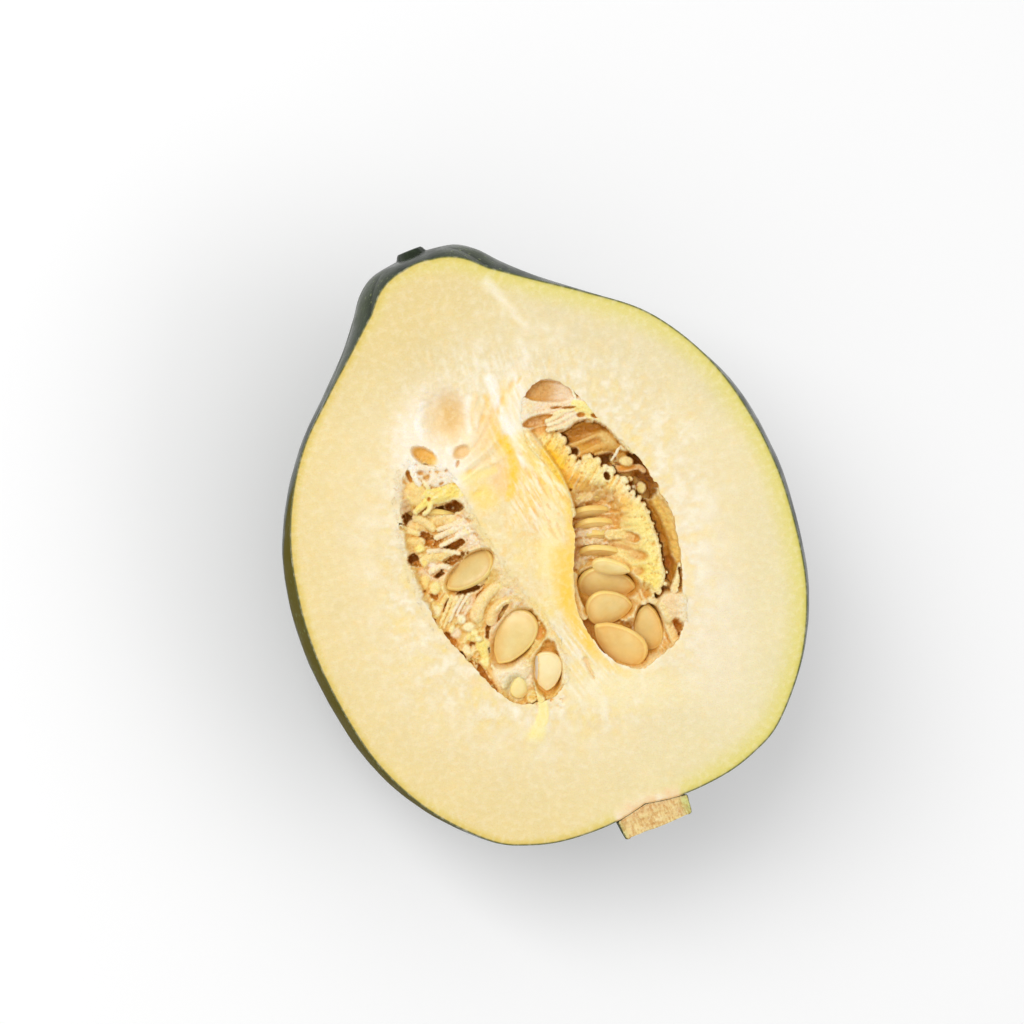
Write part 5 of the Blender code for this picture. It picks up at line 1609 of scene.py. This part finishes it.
def pulp_points(loop, painter, colour):
    """A chamber's pulp as one closed body: points, faces and colours."""
    rings, middle = wall_rings(loop, PULP_GAP)
    shown = rings[PULP_RIM_LEVEL][:, :2] - np.array(below(0.0, 0.0, PULP_HEIGHT))
    px, py = in_picture(shown[:, 0], shown[:, 1])
    spread = grid(px.min(), px.max(), py.min(), py.max(), PULP_GRAIN, 13)
    flat_extra = np.column_stack(on_cut(spread[:, 0], spread[:, 1]))
    keep = inside(flat_extra, shown)
    keep[keep] = distances(flat_extra[keep], tree_of([shown])) > 0.2
    flat, tris = sheet(shown, [], flat_extra[keep])
    px, py = in_picture(flat[:, 0], flat[:, 1])
    patch = Patch(px, py, -5.0, colour)
    painter(patch)
    patch.z += 0.16 * patch.specks(2.3, 161) + 0.10 * patch.specks(1.5, 162)
    # Painted shade where the surface lies below its evened-out height, painted highlight where it
    # stands above it
    for rounds, start, full, amount in PAINTED_SHADE_ROUNDS:
        low = settled(patch.z, tris, rounds) - patch.z
        patch.tint(ramp(low, start, full) * amount * 0.85, 0xDEA036)
        patch.tint(ramp(-low, start, full * 1.4) * 0.3, 0xFCF2C8)
    x, y = below(flat[:, 0], flat[:, 1], patch.z)
    points = [np.column_stack([x, y, patch.z])]
    colours = [patch.colour]
    faces = [tuple(t) for t in tris]
    n, count, upper = len(loop), len(flat), 0
    for ring, (z, _) in zip(rings[PULP_LOW_LEVEL:], CHAMBER_LEVELS[PULP_LOW_LEVEL:]):
        ring = middle + (ring[:, :2] - middle) * PULP_SHRINK
        points.append(np.column_stack([ring, np.full(n, z + PULP_LIFT)]))
        colours.append(np.tile(tone(0xECAA4C), (n, 1)))
        faces += band(upper, count, n, turned=True)
        upper, count = count, count + n
    points.append(np.array([(middle[0], middle[1], CHAMBER_LEVELS[-1][0] - PULP_LIFT)]))
    colours.append(tone(0xECAA4C)[None, :])
    faces += [(upper + i, count, upper + (i + 1) % n) for i in range(n)]
    return np.vstack(points), faces, np.clip(np.vstack(colours), 0.0, 1.0)


# The stem stub, in millimetres: its cut end, gap to the fruit, middle and radius, half the breadth of
# its stain in the flesh, and the rectangle round its cut face with its points' distance
STEM_END = -74.5
STEM_GAP = 0.15
STEM_MIDDLE = 0.7
STEM_RADIUS = 9.4
STEM_STAIN = 9.6
STEM_AROUND = 200
STEM_AREA = (-10.5, 12.0, -76.0, -66.5)
STEM_GRAIN = 0.33
FRUIT_END_ROWS = 14
SMALL_RINGS = (0.08, 0.22, 0.36, 0.5, 0.64, 0.78)


def stem_points():
    """The stem's stub, cut with the fruit: crumbly pith inside a ridged skin."""
    turn = np.linspace(0.0, 2 * math.pi, STEM_AROUND, endpoint=False)
    ridges = 0.06 * np.cos(5 * turn) + 0.018 * np.cos(23 * turn + 0.6)
    fruit_end = curve_points(GROOVE_PROFILE, RIND_ROWS)[:FRUIT_END_ROWS]

    def root_place(x, z):
        return np.interp(np.hypot(x, z), fruit_end[:, 0], fruit_end[:, 1]) - STEM_GAP

    rows, values = [], []
    for scale in SMALL_RINGS:
        reach = STEM_RADIUS * scale * (1.0 + ridges * scale)
        x, z = STEM_MIDDLE + reach * np.cos(turn), reach * np.sin(turn)
        rows.append(np.column_stack([x, root_place(x, z), z]))
        values.append(np.zeros(STEM_AROUND))
    for share, scale in ((0, 0.90), (0.02, 0.97), (0.06, 1), (0.2, 1), (0.4, 0.985), (0.6, 0.975),
                         (0.8, 0.965), (0.93, 0.955), (0.98, 0.93), (1, 0.88)):
        rough = 0.012 * noise(turn * 9.0, turn * 0.0 + share * 6.0, 95)
        reach = STEM_RADIUS * scale * (1.0 + ridges + rough)
        x, z = STEM_MIDDLE + reach * np.cos(turn), reach * np.sin(turn)
        root = root_place(x, z)
        rows.append(np.column_stack([x, root + (STEM_END - root) * share, z]))
        values.append(np.full(STEM_AROUND, 1.0))
    for scale in (0.8, 0.65, 0.5, 0.35, 0.2, 0.08):
        reach = STEM_RADIUS * scale * (1.0 + ridges * scale)
        x, z = reach * np.cos(turn), reach * np.sin(turn)
        y = STEM_END - 0.25 * layered(x / 1.3, z / 1.3, 96, 3) + 0.25 * scale
        rows.append(np.column_stack([STEM_MIDDLE + x, y, z]))
        values.append(np.zeros(STEM_AROUND))
    ends = [(STEM_MIDDLE, float(root_place(STEM_MIDDLE, 0.0)), 0.0), (STEM_MIDDLE, STEM_END, 0.0)]
    points, faces, skin, rim = cut_rings(rows, ends, values)
    loop = points[rim][:, :2]
    spread = grid(*STEM_AREA, STEM_GRAIN, 19)
    spread = spread[inside(spread, loop)]
    spread = spread[distances(spread, tree_of([curve_points(loop, 400, closed=True)])) > 0.12]
    flat, tris = sheet(loop, [], spread)
    px, py = in_picture(flat[:, 0], flat[:, 1])
    patch = Patch(px, py, 0.0, 0xF2D694)
    rough = layered(flat[:, 0] / 1.1, flat[:, 1] / 0.55, 97, 3)
    patch.z = -0.12 + 0.34 * rough
    patch.tint(ramp(rough, 0.1, 0.7) * 0.7, 0xFEEAB4)
    patch.tint(ramp(-rough, 0.15, 0.7) * 0.6, 0xDAA65C)
    patch.tint(ramp(patch.specks(9, 98), 0.0, 0.6) * 0.5, 0xE8C896)
    ends_green = ramp(np.abs(flat[:, 0] - STEM_MIDDLE), 6.8, 9.2)
    patch.tint(ends_green * 0.85, 0xCED482)
    root = ramp(flat[:, 1], -70.6, -69.0)
    patch.tint(root * 0.5, 0xECC48E)
    low = ramp(-flat[:, 1], 73.6, 74.5)
    patch.tint(low * 0.5, 0xDED68C)
    patch.z[:len(rim)] = 0.0
    new = np.column_stack([flat, patch.z])[len(rim):]
    base = np.where(skin[:, None] > 0.5, tone(0x3A4828), tone(0xE0CE9C))
    base = base * (1.0 + 0.25 * noise(points[:, 0] * 1.4, points[:, 1] * 0.5, 99))[:, None]
    colour = np.vstack([base, patch.colour[len(rim):]])
    faces = with_face(points, faces, rim, flat, tris)
    return np.vstack([points, new]), faces, np.clip(colour, 0.0, 1.0)


# The pieces
flesh, rind, pulp = flesh_material(), rind_material(), pulp_material()
coat, stem = seed_material(), stem_material()

points, faces, kinds, colour, values, left_loop, right_loop = body_points()
new_piece("flesh_and_rind", points, faces, [flesh, rind], ["squash_half"], kinds,
          np.clip(colour, 0.0, 1.0), values, 42.0)
points, faces, colour = stem_points()
new_piece("stem_stub_cut", points, faces, [stem], ["stem_stub"], colour=colour, sharp=55.0)
points, faces, colour = pulp_points(left_loop, paint_left, 0xF0D6A6)
new_piece("pulp_left_fibre", points, faces, [pulp], ["pulp_left"], colour=colour)
points, faces, colour = pulp_points(right_loop, paint_right, 0xECC88C)
new_piece("pulp_right_fibre", points, faces, [pulp], ["pulp_right"], colour=colour)

for side, rows in (("left", LEFT_SEEDS), ("right", RIGHT_SEEDS)):
    for i, row in enumerate(rows, 1):
        points, faces, colour = seed_points(row, i, *SEED_CHANGES.get((side, i), ()))
        new_piece(f"seed_coat_{side}_{i:02d}", points, faces, [coat],
                  [f"seed_{side}_{i:02d}"], colour=colour)

loose = [(622, 447, -3.4), (619, 450, -3.2), (617, 454, -3.4), (612, 461, -4.4)]
points, faces, colour = strand_points(loose, 0.36, 0.26, tone(0xFEF6D8), 0.6)
new_piece("pulp_right_strands", points, faces, [pulp], colour=colour)

# Floor, lights and camera
bpy.ops.mesh.primitive_plane_add(size=6.0, location=(0.0, 0.0, 0.0))
floor = bpy.context.object
floor.name = "floor"
ground = bpy.data.materials.new("floor")
ground.use_nodes = True
ground.node_tree.nodes["Principled BSDF"].inputs["Base Color"].default_value = (0.96, 0.96, 0.96, 1.0)
ground.node_tree.nodes["Principled BSDF"].inputs["Roughness"].default_value = 0.9
floor.data.materials.append(ground)

LIT_POINT = (0.0, 0.0, 0.05)
world = bpy.data.worlds.new("studio")
world.use_nodes = True
world.node_tree.nodes["Background"].inputs["Color"].default_value = (1.0, 1.0, 1.0, 1.0)
world.node_tree.nodes["Background"].inputs["Strength"].default_value = 0.62
bpy.context.scene.world = world


def softbox(name, place, size, power):
    """A square studio light that faces the fruit."""
    light = bpy.data.lights.new(name, "AREA")
    light.shape = "SQUARE"
    light.size = size
    light.energy = power
    made = bpy.data.objects.new(name, light)
    bpy.context.collection.objects.link(made)
    made.location = place
    made.rotation_mode = "QUATERNION"
    made.rotation_quaternion = (Vector(LIT_POINT) - Vector(place)).to_track_quat("-Z", "Y")


softbox("key", (-0.85, -0.8, 1.35), 0.9, 16.0)
softbox("fill", (0.7, 0.9, 1.2), 1.2, 3.5)

camera = bpy.data.cameras.new("camera")
camera.lens = LENS
camera.sensor_width = SENSOR
camera.clip_start, camera.clip_end = 0.01, 20.0
viewer = bpy.data.objects.new("camera", camera)
bpy.context.collection.objects.link(viewer)
back = Vector((TILT_TOWARDS[0] * math.sin(VIEW_TILT), TILT_TOWARDS[1] * math.sin(VIEW_TILT),
               math.cos(VIEW_TILT))).normalized()
upward = Vector((*PICTURE_UP, 0.0))
upward = (upward - back * upward.dot(back)).normalized()
rightward = upward.cross(back)
distance = PICTURE_SIZE * PIXEL * LENS / SENSOR
spot_seen = Vector((*VIEW_MIDDLE, 0.0)) + back * distance
turned = PLACE.to_3x3() @ Matrix((rightward, upward, back)).transposed()
viewer.matrix_world = Matrix.Translation(PLACE @ (spot_seen * MM)) @ turned.to_4x4()
bpy.context.scene.camera = viewer
bpy.context.scene.view_settings.view_transform = "Standard"
bpy.context.scene.view_settings.look = "None"
